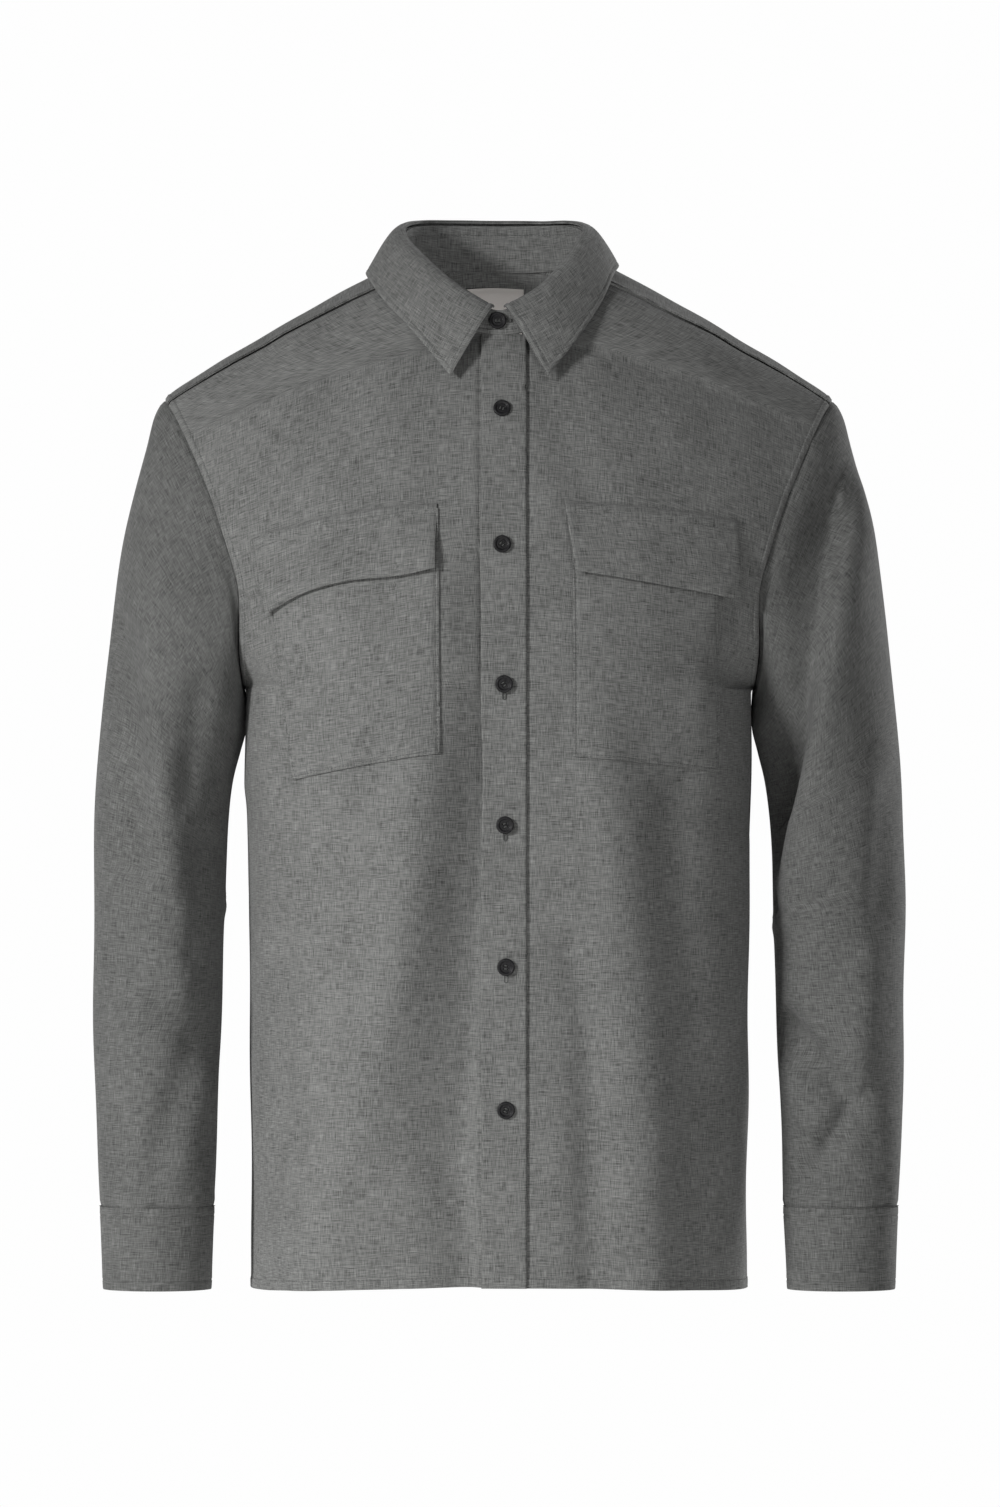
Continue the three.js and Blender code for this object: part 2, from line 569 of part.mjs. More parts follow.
// The edge rule of a body piece: back from the armhole, from the side seam and from the yoke's seams.
// The armhole starts above the row armholeFrom. Where the yoke meets a panel, both walls run halfway
// between their own normals.
function bodyEdge(side, surface, armholeFrom, turnOf, yokeSeams) {
  return (across, at, normal) => {
    const move = new THREE.Vector3();
    let wall = normal;
    if (across > 0.999 && at > armholeFrom) {
      const seam = seamAtTurn(side, turnOf(at));
      move.addScaledVector(seam.apart, -SEAM_GAP);
      wall = seam.bodyWall;
    } else if (across > 0.999) {
      const run = surface(1, at).sub(surface(1 - SEAM_STEP, at)).normalize();
      move.addScaledVector(run, -SEAM_GAP);
    }
    for (const seam of yokeSeams.filter((one) => Math.abs(at - one.at) < 1e-6)) {
      const run = surface(across, at + seam.inwards * SEAM_STEP).sub(surface(across, at)).normalize();
      move.addScaledVector(run, SEAM_GAP);
      const there = normalOf(seam.other, across, seam.otherAt, seam.otherOutward);
      wall = wall.clone().add(there).normalize();
    }
    return { move, wall };
  };
}

// Where a row of the front stands at a given distance from the centre, measured towards its own side.
function acrossAt(x, at) {
  const start = startX(frontRows, at);
  const angle = THREE.MathUtils.degToRad(along(frontRows, "turn", at));
  const end = rowEnd(at, FRONT_SEAM_TURN, false).x;
  const sine = ((x - start) / (end - start)) * Math.sin(angle);
  return Math.asin(THREE.MathUtils.clamp(sine, -1, 1)) / angle;
}

// Each mesh gets a material of its own.
const fabric = (color) => new THREE.MeshStandardMaterial({ color, roughness: 0.95, metalness: 0 });
const melange = () => fabric(0x6b6b69);
const labelCloth = () => fabric(0xc6bfb9);
const plastic = () => new THREE.MeshStandardMaterial({ color: 0x1d1d1f, roughness: 0.35, metalness: 0 });

const shirt = new THREE.Group();
shirt.name = "shirt";

// Fronts. The left one starts beside the placket. The right one runs on under it, in the placket's own
// columns, and its corner tapers away under the collar.
const frontPlaces = [...BELOW, ...FRONT_ABOVE];
const FRONT_COLUMNS = 13;
const PLACKET_COLUMNS = spread(PLACKET_TO, PLACKET_FROM, 3);
const TAPER = 0.4;
function addFront(name, side) {
  const surface = cloths[side].front;
  const places = frontPlaces.map((at) => {
    if (side > 0) return spread(Math.max(acrossAt(LEFT_FRONT_FROM, at), 0), 1, FRONT_COLUMNS);
    const under = PLACKET_COLUMNS.map((x) => {
      const tapered = startX(frontRows, at) + (PLACKET_TO - x) * TAPER;
      return acrossAt(at < PLACKET_TOP ? -x : tapered, at);
    });
    return [...under, ...spread(under.at(-1), 1, FRONT_COLUMNS - 2).slice(1)];
  });
  const pairs = places.map((row, i) => row.map((across) => [across, frontPlaces[i]]));
  const { yoke } = cloths[side];
  const seam = { at: 2, inwards: -1, other: yoke, otherAt: SEAM_STEP, otherOutward: side < 0 };
  const rule = bodyEdge(side, surface, 1, (at) => (at - 1) * FRONT_SEAM_TURN, [seam]);
  shirt.add(meshOf(name, solidBetween(wallOver(surface, pairs, side < 0, -CLOTH, CLOTH, rule)), melange));
}
addFront("front_right", -1);
addFront("front_left", 1);

// Back and yoke, each in one piece across the centre line, whose points both halves share.
function addWhole(name, rows, columns, gridOf) {
  const places = rows.map((at) => spread(0, 1, columns).map((across) => [across, at]));
  const [right, left] = [-1, 1].map((side) => gridOf(side, places));
  right.forEach((layer, k) => {
    layer.forEach((row, i) => {
      if (along(name === "yoke" ? yokeRows : backRows, "x", rows[i]) > 0.5) return;
      row[0].x = 0;
      left[k][i][0].copy(row[0]);
    });
  });
  shirt.add(meshOf(name, joinedHalves([solidBetween(right), solidBetween(left)]), melange));
}

addWhole("back", [...BELOW, ...BACK_ABOVE], 12, (side, places) => {
  const surface = cloths[side].back;
  const { yoke } = cloths[side];
  const seam = { at: 2, inwards: -1, other: yoke, otherAt: 1 - SEAM_STEP, otherOutward: side < 0 };
  const rule = bodyEdge(side, surface, 1, (at) => 2 * Math.PI - (at - 1) * BACK_SEAM_TURN, [seam]);
  return wallOver(surface, places, side > 0, -CLOTH, CLOTH, rule);
});

addWhole("yoke", YOKE_ROWS, 12, (side, places) => {
  const surface = cloths[side].yoke;
  const turnOf = (at) => mix(FRONT_SEAM_TURN, 2 * Math.PI - BACK_SEAM_TURN, at);
  const { front, back } = cloths[side];
  const seams = [
    { at: 0, inwards: 1, other: front, otherAt: 2 - SEAM_STEP, otherOutward: side < 0 },
    { at: 1, inwards: -1, other: back, otherAt: 2 - SEAM_STEP, otherOutward: side > 0 },
  ];
  const rule = bodyEdge(side, surface, -1, turnOf, seams);
  return wallOver(surface, places, side < 0, -CLOTH, CLOTH, rule);
});

// Sleeves and cuffs
const SLEEVE_ROWS = [0, 0.04, 0.09, 0.15, 0.22, 0.3, 0.37, 0.44, 0.51, 0.58, 0.65, 0.71, 0.77, 0.83, 0.89, 0.95, 1];
for (const [side, label] of [[-1, "right"], [1, "left"]]) {
  const { sleeve, cuff } = cloths[side];
  const sleevePlaces = SLEEVE_ROWS.map((at) => sleeveTurns.map((turn) => [turn, at]));
  const sleeveEdge = (turn, at, normal) => {
    if (at > 0) return { move: new THREE.Vector3(), wall: normal };
    const seam = seamAtTurn(side, turn);
    return { move: seam.apart.clone().multiplyScalar(SEAM_GAP), wall: seam.sleeveWall };
  };
  const sleeveWall = wallOver(sleeve, sleevePlaces, side > 0, -CLOTH, CLOTH, sleeveEdge);
  shirt.add(meshOf(`sleeve_${label}`, solidBetween(sleeveWall, true), melange));
  const cuffTurns = spread(0, 2 * Math.PI, 28).slice(0, -1);
  const cuffPlaces = [0.007, 0.5, 1].map((at) => cuffTurns.map((turn) => [turn, at]));
  const cuffWall = wallOver(cuff, cuffPlaces, side > 0, -CUFF_CLOTH, CUFF_CLOTH);
  shirt.add(meshOf(`cuff_${label}`, solidBetween(cuffWall, true), melange));
}

// Button placket, in the same rows as the fronts under it
const placketRows = [...frontPlaces.filter((at) => at < PLACKET_TOP - 0.02), PLACKET_TOP];
const placketPlaces = placketRows.map((at) =>
  PLACKET_COLUMNS.map((x) => [acrossAt(x, at), at]),
);
const placketWall = wallOver(cloths[1].front, placketPlaces, false, LAID_ON, CLOTH);
shirt.add(meshOf("button_placket", solidBetween(placketWall), melange));

// The place on a surface that is seen from the front at x and z, found by Newton's steps.
function placeSeenAt(surface, x, z, across, at) {
  const place = [across, at];
  const step = 1e-4;
  for (let round = 0; round < 12; round += 1) {
    const here = surface(...place);
    const a = surface(place[0] + step, place[1]).sub(here).divideScalar(step);
    const b = surface(place[0], place[1] + step).sub(here).divideScalar(step);
    const size = a.x * b.z - a.z * b.x;
    place[0] += ((x - here.x) * b.z - (z - here.z) * b.x) / size;
    place[1] += ((z - here.z) * a.x - (x - here.x) * a.z) / size;
    place[0] = THREE.MathUtils.clamp(place[0], -0.5, 1);
    place[1] = THREE.MathUtils.clamp(place[1], 0, 2);
  }
  return place;
}

// Pockets, and the flaps over them
const POCKET_CLOTH = 1.6;
const FLAP_LIFT = 0.5; // clear space between a flap and its pocket
for (const { name, topIn, topOut, footIn, footOut } of laidOn) {
  const side = Math.sign(topIn[0]);
  const surface = cloths[side].front;
  const places = spread(0, 1, 8).map((down) =>
    spread(0, 1, 8).map((out) => {
      const x = mix(mix(topIn[0], topOut[0], out), mix(footIn[0], footOut[0], out), down);
      const z = mix(mix(topIn[1], topOut[1], out), mix(footIn[1], footOut[1], out), down);
      return placeSeenAt(surface, x, z, Math.abs(x) / 200, 1.3);
    }),
  );
  const lift = name.startsWith("flap") ? POCKET_LIFT + POCKET_CLOTH + FLAP_LIFT : POCKET_LIFT;
  const wall = wallOver(surface, places, side < 0, lift, POCKET_CLOTH);
  shirt.add(meshOf(name, solidBetween(wall), melange));
}

// Collar stand: a band round the neck whose left end laps over its right end in front.
function standPoint(round, up) {
  const side = Math.sign(round) || 1;
  const past = Math.abs(round) > 1;
  const at = past ? 2 - Math.abs(round) : Math.abs(round);
  const column = (part) =>
    mix(along(collarLine, `foot${part}`, at, part !== "X", part !== "X"),
      along(collarLine, `top${part}`, at, part !== "X", part !== "X"), up);
  return new THREE.Vector3(column("X") * (past ? -side : side), column("Y"), column("Z"));
}

const outwardAt = (round) => {
  const run = standPoint(round + 0.01, 0.5).sub(standPoint(round - 0.01, 0.5));
  return new THREE.Vector3(run.y, -run.x, 0).normalize().multiplyScalar(-1);
};
const lap = (round) => STAND_LAP * smooth((round - 0.78) / 0.14);
const lapped = (round, up) => standPoint(round, up).addScaledVector(outwardAt(round), lap(round));
const STAND_ENDS = [-1.03, 1.045];
const standPlaces = spread(0, 1, 3).map((up) => spread(...STAND_ENDS, 44).map((round) => [round, up]));
const standWall = wallOver(lapped, standPlaces, true, -STAND_CLOTH, STAND_CLOTH);
shirt.add(meshOf("collar_stand", solidBetween(standWall), melange));

// Points over the shoulders and the chest that the collar leaf has to clear.
const shoulders = [];
for (const side of [-1, 1]) {
  for (const across of spread(0, 0.75, 22)) {
    for (const at of spread(1.55, 2, 18)) shoulders.push([cloths[side].front, across, at, side < 0]);
    for (const at of spread(0, 1, 18)) shoulders.push([cloths[side].yoke, across, at, side < 0]);
  }
}
const shoulderPoints = shoulders.map(([surface, across, at, outward]) => ({
  point: surface(across, at),
  normal: normalOf(surface, across, at, outward),
}));

function clearOfShoulders(point, clear) {
  let nearest = shoulderPoints[0];
  for (const candidate of shoulderPoints) {
    if (candidate.point.distanceToSquared(point) < nearest.point.distanceToSquared(point)) {
      nearest = candidate;
    }
  }
  const height = point.clone().sub(nearest.point).dot(nearest.normal);
  return point.addScaledVector(nearest.normal, Math.max(clear - height, 0));
}

// Collar leaf: from the top of the stand it rolls outwards and falls to its free edge.
function leafPoint(round, down) {
  const share = THREE.MathUtils.clamp(Math.abs(round) / LEAF_FRONT, 0, 1);
  const side = Math.sign(round) || 1;
  const flat = (column) => along(leafEdge, column, share, true);
  const edge = new THREE.Vector3(side * along(leafEdge, "x", share), flat("y"), flat("z"));
  const outward = outwardAt(round);
  const start = standPoint(round, 1).addScaledVector(outward, lap(Math.abs(round)) - STAND_CLOTH / 2);
  start.z += LEAF_ABOVE;
  const turn = start.clone().addScaledVector(outward, LEAF_ROLL);
  turn.z += 1;
  return start.multiplyScalar((1 - down) ** 2)
    .addScaledVector(turn, 2 * down * (1 - down))
    .addScaledVector(edge, down * down);
}

const leafPlaces = [0, 0.12, 0.28, 0.5, 0.75, 1].map((down) =>
  spread(-LEAF_FRONT, LEAF_FRONT, 42).map((round) => [round, down]),
);
const leafWall = wallOver(leafPoint, leafPlaces, false, 0, LEAF_CLOTH);
for (let i = 1; i < leafWall[1].length; i += 1) {
  for (let j = 0; j < leafWall[1][i].length; j += 1) {
    const before = leafWall[1][i][j].clone();
    const after = clearOfShoulders(leafWall[1][i][j], LEAF_CLEAR);
    leafWall[0][i][j].add(after.clone().sub(before));
  }
}
shirt.add(meshOf("collar_leaf", solidBetween(leafWall), melange));

// Buttons: discs with a raised rim, their backs towards the cloth
const BUTTON_RADIUS = BUTTON_DIAMETER / 2;
const buttonProfile = [
  [0, 0],
  [BUTTON_RADIUS - 0.8, 0],
  [BUTTON_RADIUS, 1],
  [BUTTON_RADIUS, BUTTON_THICK - 0.4],
  [BUTTON_RADIUS - BUTTON_RIM, BUTTON_THICK],
  [BUTTON_RADIUS - BUTTON_RIM - 0.9, BUTTON_THICK - 0.8],
  [0, BUTTON_THICK - 0.8],
];
function addButton(name, point, normal, lift) {
  const button = meshOf(name, turnedSolid(buttonProfile, BUTTON_SIDES), plastic);
  button.position.copy(point).addScaledVector(normal, lift);
  button.quaternion.setFromUnitVectors(new THREE.Vector3(0, 0, 1), normal);
  shirt.add(button);
}

const STAND_BUTTON = { round: 1.003, up: 0.42 };
const standNormal = normalOf(lapped, STAND_BUTTON.round, STAND_BUTTON.up, true);
addButton("button_1", lapped(STAND_BUTTON.round, STAND_BUTTON.up), standNormal, LAID_ON);
for (const { name, x, z } of placketButtons) {
  const place = placeSeenAt(cloths[1].front, x, z, 0.02, 1);
  const normal = normalOf(cloths[1].front, ...place, false);
  addButton(name, cloths[1].front(...place), normal, 2 * LAID_ON + CLOTH);
}
for (const [side, label] of [[-1, "right"], [1, "left"]]) {
  const normal = normalOf(cloths[side].cuff, CUFF_BUTTON_TURN, 0.5, side > 0);
  addButton(`cuff_button_${label}`, cloths[side].cuff(CUFF_BUTTON_TURN, 0.5), normal, LAID_ON);
}

// Neck label, inside the yoke under the back of the neck
const labelPlaces = spread(0, 1, 4).map((down) =>
  spread(LABEL_X - LABEL_WIDE / 2, LABEL_X + LABEL_WIDE / 2, 4).map((x) =>
    placeSeenAt(cloths[1].yoke, x, LABEL_TOP - down * LABEL_HIGH, x / 250, 0.8),
  ),
);
const labelLift = -(CLOTH + 2 * LAID_ON + LABEL_THICK);
const labelWall = wallOver(cloths[1].yoke, labelPlaces, false, labelLift, LABEL_THICK);
shirt.add(meshOf("label", solidBetween(labelWall), labelCloth));

export default shirt;
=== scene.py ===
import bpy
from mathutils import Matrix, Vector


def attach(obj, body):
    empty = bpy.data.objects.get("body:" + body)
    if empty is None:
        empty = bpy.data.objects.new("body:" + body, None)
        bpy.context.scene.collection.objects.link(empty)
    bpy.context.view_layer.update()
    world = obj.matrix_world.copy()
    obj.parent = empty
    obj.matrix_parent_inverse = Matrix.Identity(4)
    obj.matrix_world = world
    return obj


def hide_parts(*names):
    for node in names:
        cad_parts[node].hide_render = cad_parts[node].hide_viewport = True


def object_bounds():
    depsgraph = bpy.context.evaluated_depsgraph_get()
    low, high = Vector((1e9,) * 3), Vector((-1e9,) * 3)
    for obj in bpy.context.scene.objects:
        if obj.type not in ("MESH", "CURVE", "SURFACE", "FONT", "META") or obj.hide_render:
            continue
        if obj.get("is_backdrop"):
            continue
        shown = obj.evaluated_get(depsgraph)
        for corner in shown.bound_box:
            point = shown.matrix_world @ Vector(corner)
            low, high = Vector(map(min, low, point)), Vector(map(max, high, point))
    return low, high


bl_info = {
    "name": "Shirt",
    "version": (1, 0, 0),
    "blender": (4, 5, 0),
    "location": "View3D > Sidebar > Shirt",
    "description": "A long-sleeved buttoned shirt in grey melange cloth, filled out and hollow",
    "category": "Add Mesh",
}

import math

import bmesh
import bpy
import numpy as np
from mathutils import Vector

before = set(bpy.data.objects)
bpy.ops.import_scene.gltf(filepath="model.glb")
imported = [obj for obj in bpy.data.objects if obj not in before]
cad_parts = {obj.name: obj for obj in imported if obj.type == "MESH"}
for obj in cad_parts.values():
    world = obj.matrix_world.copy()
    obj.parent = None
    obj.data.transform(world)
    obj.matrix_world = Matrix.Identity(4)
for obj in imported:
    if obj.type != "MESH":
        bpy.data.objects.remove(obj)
CAD_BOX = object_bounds()

# Lengths are worked out in millimetres and scaled once, when a mesh is made.
MM = 0.001
RIGHT, LEFT = -1, 1  # the wearer's sides, along X
SIDE_NAMES = {RIGHT: "right", LEFT: "left"}
CLOTH = 1.2

# Lines of stitches, by their distance from the edge or seam that they follow
HEM_STITCH, SEAM_STITCH, BACK_SEAM_STITCH, CUFF_STITCH = 7.0, 5.5, 4.5, 6.6
POCKET_STITCH, FLAP_STITCH, LEAF_STITCH = 2.2, 7.2, 4.6
STAND_END_STITCH, STAND_FOOT_STITCH, STAND_TOP_STITCH = 3.5, 3.0, 7.0

# Main heights
HEM, UNDERARM, SHOULDER, CUFF_SEAM = -749.0, -311.0, -100.0, -688.5

# Armhole: an egg-shaped loop in height and depth
ARMHOLE_MIDDLE = (UNDERARM + SHOULDER) / 2
ARMHOLE_HALF = (SHOULDER - UNDERARM) / 2
ARMHOLE_FRONT, ARMHOLE_BACK, BACK_WIDTH_EXTRA = 76.0, 80.0, 7.0
FRONT_SEAM_TURN, BACK_SEAM_TURN = math.radians(166), math.radians(112.6)

# Collar
LEAF_FRONT, LEAF_ROLL, LEAF_ABOVE = 0.986, 9.0, 1.2
STAND_LAP = 3.1


def table(columns, *rows):
    """Named columns, as arrays, from rows of numbers."""
    return dict(zip(columns.split(), np.array(rows, float).T))


ARMHOLE_WIDTHS = table(
    "at x",
    (-311, 186), (-285, 188.5), (-255, 188.8), (-235, 190.5), (-207, 198.5),
    (-176, 209), (-150, 219.5), (-127, 229.5), (-108, 238.5), (-100, 243.5),
)
SIDE_SEAM = table("at x", (0, 182), (0.3, 182.5), (0.7, 184), (1, 186))

# Rows of the front, the yoke and the back: where a row starts, and the angle that it turns through.
FRONT_ROWS = table(
    "at x y z turn",
    (0, 0, -134, -743, 90),
    (0.25, 0, -137, -636, 90),
    (0.5, 0, -138, -528, 90),
    (0.75, 0, -140, -419, 90),
    (1, 0, -141, -308, 90),
    (1.1, 0, -140.5, -285, 77),
    (1.2, 0, -139, -261, 68),
    (1.3, 0, -137, -236, 62),
    (1.4, 0, -133.5, -209, 58),
    (1.5, 0, -128, -180, 55),
    (1.6, 0, -119, -148, 52),
    (1.7, 0, -105, -112, 48),
    (1.8, 0, -84, -70, 43),
    (1.84, 0, -74.5, -53, 40),
    (1.88, 28, -70, -46, 37),
    (1.92, 49, -59, -32, 35),
    (1.96, 64, -45, -18, 32),
    (2, 72, -31, -8, 30),
)
YOKE_ROWS = table(
    "at x y z turn",
    (0, 72, -31, -8, 30),
    (0.16, 77, -6, 1, 28),
    (0.32, 73, 22, 3, 30),
    (0.48, 58, 47, 2, 36),
    (0.6, 34, 62, 0.5, 42),
    (0.72, 0, 68, 0, 48),
    (0.86, 0, 88, -46, 55),
    (1, 0, 107, -105, 60),
)
BACK_ROWS = table(
    "at x y z turn",
    (0, 0, 120, -746, 90),
    (0.25, 0, 116, -637, 90),
    (0.5, 0, 113, -528, 90),
    (0.75, 0, 117, -419, 90),
    (1, 0, 124, -310, 90),
    (1.25, 0, 125, -264, 76),
    (1.5, 0, 123, -208, 67),
    (1.75, 0, 117, -154, 62),
    (2, 0, 107, -105, 60),
)

# Rings of the sleeve and the cuff: outermost and innermost point, depth and centre.
SLEEVE_RINGS = table(
    "at outX outZ inX inZ deep y",
    (0, 243.5, -100, 186, -311, 77, 0),
    (0.05, 252, -113, 185.6, -315, 77, 0),
    (0.1, 259, -135, 185.2, -320, 77, 0),
    (0.17, 267.5, -167, 184.8, -329, 76, -1),
    (0.25, 275.5, -202, 185.7, -341, 75, -2),
    (0.33, 281.5, -240, 190, -357, 73, -3),
    (0.42, 287.5, -291, 195, -378, 70, -4),
    (0.5, 292, -341, 198, -403, 67, -5),
    (0.58, 296, -394, 199.8, -433, 64, -7),
    (0.66, 297.3, -448, 200.8, -467, 61, -9),
    (0.74, 297.4, -507, 202.2, -512, 57, -12),
    (0.82, 296.6, -566, 203.9, -565, 51, -16),
    (0.91, 294.4, -627, 206, -627, 45, -21),
    (1, 291.9, CUFF_SEAM, 208.1, CUFF_SEAM, 40, -26),
)
CUFF_RINGS = table(
    "at outX outZ inX inZ deep y",
    (0, 292.4, CUFF_SEAM, 207.6, CUFF_SEAM, 40.6, -26),
    (0.5, 291.3, -719, 208.8, -719, 39.6, -28),
    (1, 290.2, HEM, 209.9, HEM, 38.8, -30),
)

# The collar stand from the middle of the back round to the front, and the leaf's free edge.
COLLAR_LINE = table(
    "at footX footY footZ topX topY topZ",
    (0, 0, 67.5, 1.2, 0, 63, 32.8),
    (0.17, 33, 62, 1.8, 33, 57, 32.8),
    (0.34, 58, 46, 3.4, 58, 39, 31.8),
    (0.5, 73, 20, 4.5, 70, 12, 26.6),
    (0.62, 76, -7, 2.4, 68, -14, 17),
    (0.74, 69.5, -35, -9, 56, -40, 2),
    (0.86, 47.5, -60, -30.2, 35, -60, -16),
    (0.93, 25, -71, -43.8, 18, -69, -28),
    (1, 0, -74.5, -49.2, 0, -72.5, -36),
)
LEAF_EDGE = table(
    "at x y z",
    (0, 0, 86, -14),
    (0.17, 40, 81, -13),
    (0.34, 74, 60, -9.5),
    (0.5, 93, 22, -8),
    (0.62, 94.5, -12, -11),
    (0.74, 84, -48, -27),
    (0.86, 62, -76, -52),
    (1, 35, -97, -84.5),
)

# Folds, as seen from the front: a line, how far the fold reaches to its left and right, and its height.
FRONT_FOLDS = table(
    "x1 z1 x2 z2 reach_left reach_right high",
    (-51, -370, -72, -500, 24, 26, 10),
    (-72, -500, -95, -612, 26, 26, 11),
    (-95, -612, -131, -722, 30, 28, 10),
    (-76, -245, -90, -363, 14, 18, -2.5),
    (72, -350, 104, -612, 26, 26, 7),
    (104, -612, 111, -745, 26, 26, 7),
    (52, -500, 66, -560, 12, 14, -4),
    (66, -560, 68, -745, 14, 16, -5),
    (129, -392, 146, -740, 20, 22, -6),
    (-160, -480, -168, -735, 16, 18, -5),
    (-166, -290, -176, -380, 12, 16, 2.5),
    (-148, -296, -160, -350, 12, 14, -2),
    (168, -300, 174, -400, 16, 14, -3),
    (146, -300, 156, -380, 14, 15, 3),
    (-186, -214, -160, -268, 8, 12, -2.5),
    (186, -222, 166, -262, 10, 10, -2.5),
    (-16, -120, -60, -172, 14, 20, -1.8),
    (30, -110, 70, -168, 18, 14, -1.8),
)
# Folds of the wearer's right front alone, which sink beside the placket and run on under it.
BESIDE_FOLDS = table(
    "x1 z1 x2 z2 reach_left reach_right high",
    (-13, -225, -11, -318, 22, 8, -7),
    (-11, -318, -15, -440, 29, 9, -13),
    (-15, -440, -22, -560, 33, 9, -15),
    (-22, -560, -28, -650, 33, 10, -14),
    (-28, -650, -22, -748, 31, 10, -13),
)
BACK_FOLDS = table(
    "x1 z1 x2 z2 reach_left reach_right high",
    (-60, -320, -72, -500, 24, 28, 8),
    (-72, -500, -88, -735, 26, 26, 8),
    (50, -290, 64, -480, 26, 24, 7),
    (64, -480, 80, -735, 26, 24, 8),
    (-6, -300, 2, -520, 22, 22, -6),
    (2, -520, -4, -740, 24, 24, -7),
    (-134, -400, -128, -735, 20, 18, -7),
    (128, -380, 138, -735, 18, 20, -7),
    (-172, -300, -150, -380, 12, 14, -4),
    (172, -300, 152, -384, 14, 12, -4),
    (-120, -130, -150, -230, 20, 16, 3),
    (118, -130, 150, -236, 16, 20, 3),
)
SLEEVE_FOLDS = {
    (LEFT, "front"): table(
        "x1 z1 x2 z2 reach_left reach_right high",
        (268, -150, 240, -290, 8, 22, 5),
        (240, -290, 206, -456, 8, 24, 8),
        (246, -190, 222, -310, 24, 10, -12),
        (222, -310, 203, -400, 26, 10, -18),
        (203, -400, 196, -470, 24, 12, -10),
        (196, -470, 192, -540, 22, 14, -4),
        (208, -553, 256, -613, 14, 9, -11),
        (256, -613, 222, -668, 9, 12, -9),
        (212, -590, 222, -630, 10, 10, 3),
        (268, -505, 262, -590, 13, 13, 4),
        (286, -380, 280, -470, 12, 12, -4),
    ),
    (RIGHT, "front"): table(
        "x1 z1 x2 z2 reach_left reach_right high",
        (-276, -270, -265, -392, 16, 14, -9),
        (-265, -392, -271, -500, 18, 16, -8),
        (-247, -365, -240, -445, 13, 16, 7),
        (-214, -425, -226, -505, 12, 10, -5),
        (-226, -470, -232, -530, 10, 12, 5),
        (-212, -600, -232, -655, 13, 13, 3),
        (-222, -570, -248, -650, 13, 14, -4.5),
        (-284, -540, -276, -640, 16, 12, -5),
        (-262, -130, -250, -235, 16, 16, 3),
        (-216, -310, -228, -390, 12, 10, -4),
    ),
    (LEFT, "back"): table(
        "x1 z1 x2 z2 reach_left reach_right high",
        (214, -430, 262, -492, 12, 18, -8),
        (208, -485, 252, -540, 10, 14, 5),
        (216, -600, 262, -640, 15, 12, -6),
        (262, -190, 252, -330, 18, 16, -5),
        (232, -300, 222, -400, 14, 14, 5),
    ),
    (RIGHT, "back"): table(
        "x1 z1 x2 z2 reach_left reach_right high",
        (-212, -420, -262, -497, 18, 12, -8),
        (-208, -470, -250, -530, 14, 10, 5),
        (-216, -590, -260, -640, 12, 15, -6),
        (-258, -200, -250, -320, 16, 18, -5),
        (-236, -310, -224, -390, 14, 14, 5),
    ),
}

# Pockets and flaps: their corners, each as x and z seen from the front, and how far top and foot bow up.
LAID_ON = {
    name: dict(zip("top_in top_out foot_in foot_out bow_top bow_foot skew".split(), row))
    for name, *row in (
        ("pocket_right", (-43.8, -181), (-173, -199), (-42.8, -358), (-148.6, -377), 0, 1.5, 1),
        ("pocket_left", (52.6, -181), (157.6, -189), (53.6, -360), (158.5, -371), 0, 1, 1),
        ("flap_right", (-44.8, -177), (-178, -202), (-46.3, -225), (-165.6, -257), 5, 8.3, 2),
        ("flap_left", (47.2, -177), (173.5, -189), (54, -227), (171, -246), 2.5, 0.5, 1),
    )
}

# Buttons down the placket, and the places of the others
PLACKET_BUTTONS = table(
    "number x z",
    (2, 2.2, -109.5), (3, 2.2, -207.5), (4, 3.6, -307.8),
    (5, 4.3, -409.3), (6, 5, -511.5), (7, 5, -614.5),
)
STAND_BUTTON = (1.003, 0.42)
CUFF_BUTTON_TURN = math.radians(236)
PLACKET_FROM, PLACKET_TO, PLACKET_TOP = -13.0, 20.0, 1.842
# Where each front starts under the placket, and the groove along the placket: its distance and depth
FRONT_START = {RIGHT: -16.0, LEFT: 16.8}
PLACKET_GROOVE = {RIGHT: (30.2, 0.9), LEFT: (4.3, 0.4)}

# Neck label
LABEL_X, LABEL_TOP, LABEL_WIDE, LABEL_HIGH = -3.7, -13.0, 44.0, 40.0


def smooth(value):
    """0 below 0, 1 above 1, and an even S between."""
    t = np.clip(value, 0, 1)
    return t * t * (3 - 2 * t)


def mix(a, b, t):
    return a + (b - a) * t


def along(rows, column, at, even_start=False, even_end=False):
    """A smooth curve through a column: cubic pieces whose slope at each row is that from the row before
    it to the row after it, or level at an end that is said to be even."""
    x, y = rows["at"], rows[column]
    at = np.clip(at, x[0], x[-1])
    i = np.clip(np.searchsorted(x, at, side="left") - 1, 0, len(x) - 2)
    slope = np.empty_like(y)
    slope[1:-1] = (y[2:] - y[:-2]) / (x[2:] - x[:-2])
    slope[0] = 0 if even_start else (y[1] - y[0]) / (x[1] - x[0])
    slope[-1] = 0 if even_end else (y[-1] - y[-2]) / (x[-1] - x[-2])
    span = x[i + 1] - x[i]
    t = (at - x[i]) / span
    start = (1 + 2 * t) * (1 - t) ** 2 * y[i] + t * (1 - t) ** 2 * span * slope[i]
    return start + t * t * (3 - 2 * t) * y[i + 1] + t * t * (t - 1) * span * slope[i + 1]


def stack(x, y, z):
    return np.stack(np.broadcast_arrays(x, y, z), axis=-1).astype(float)


def unit(vectors):
    return vectors / np.maximum(np.linalg.norm(vectors, axis=-1, keepdims=True), 1e-12)


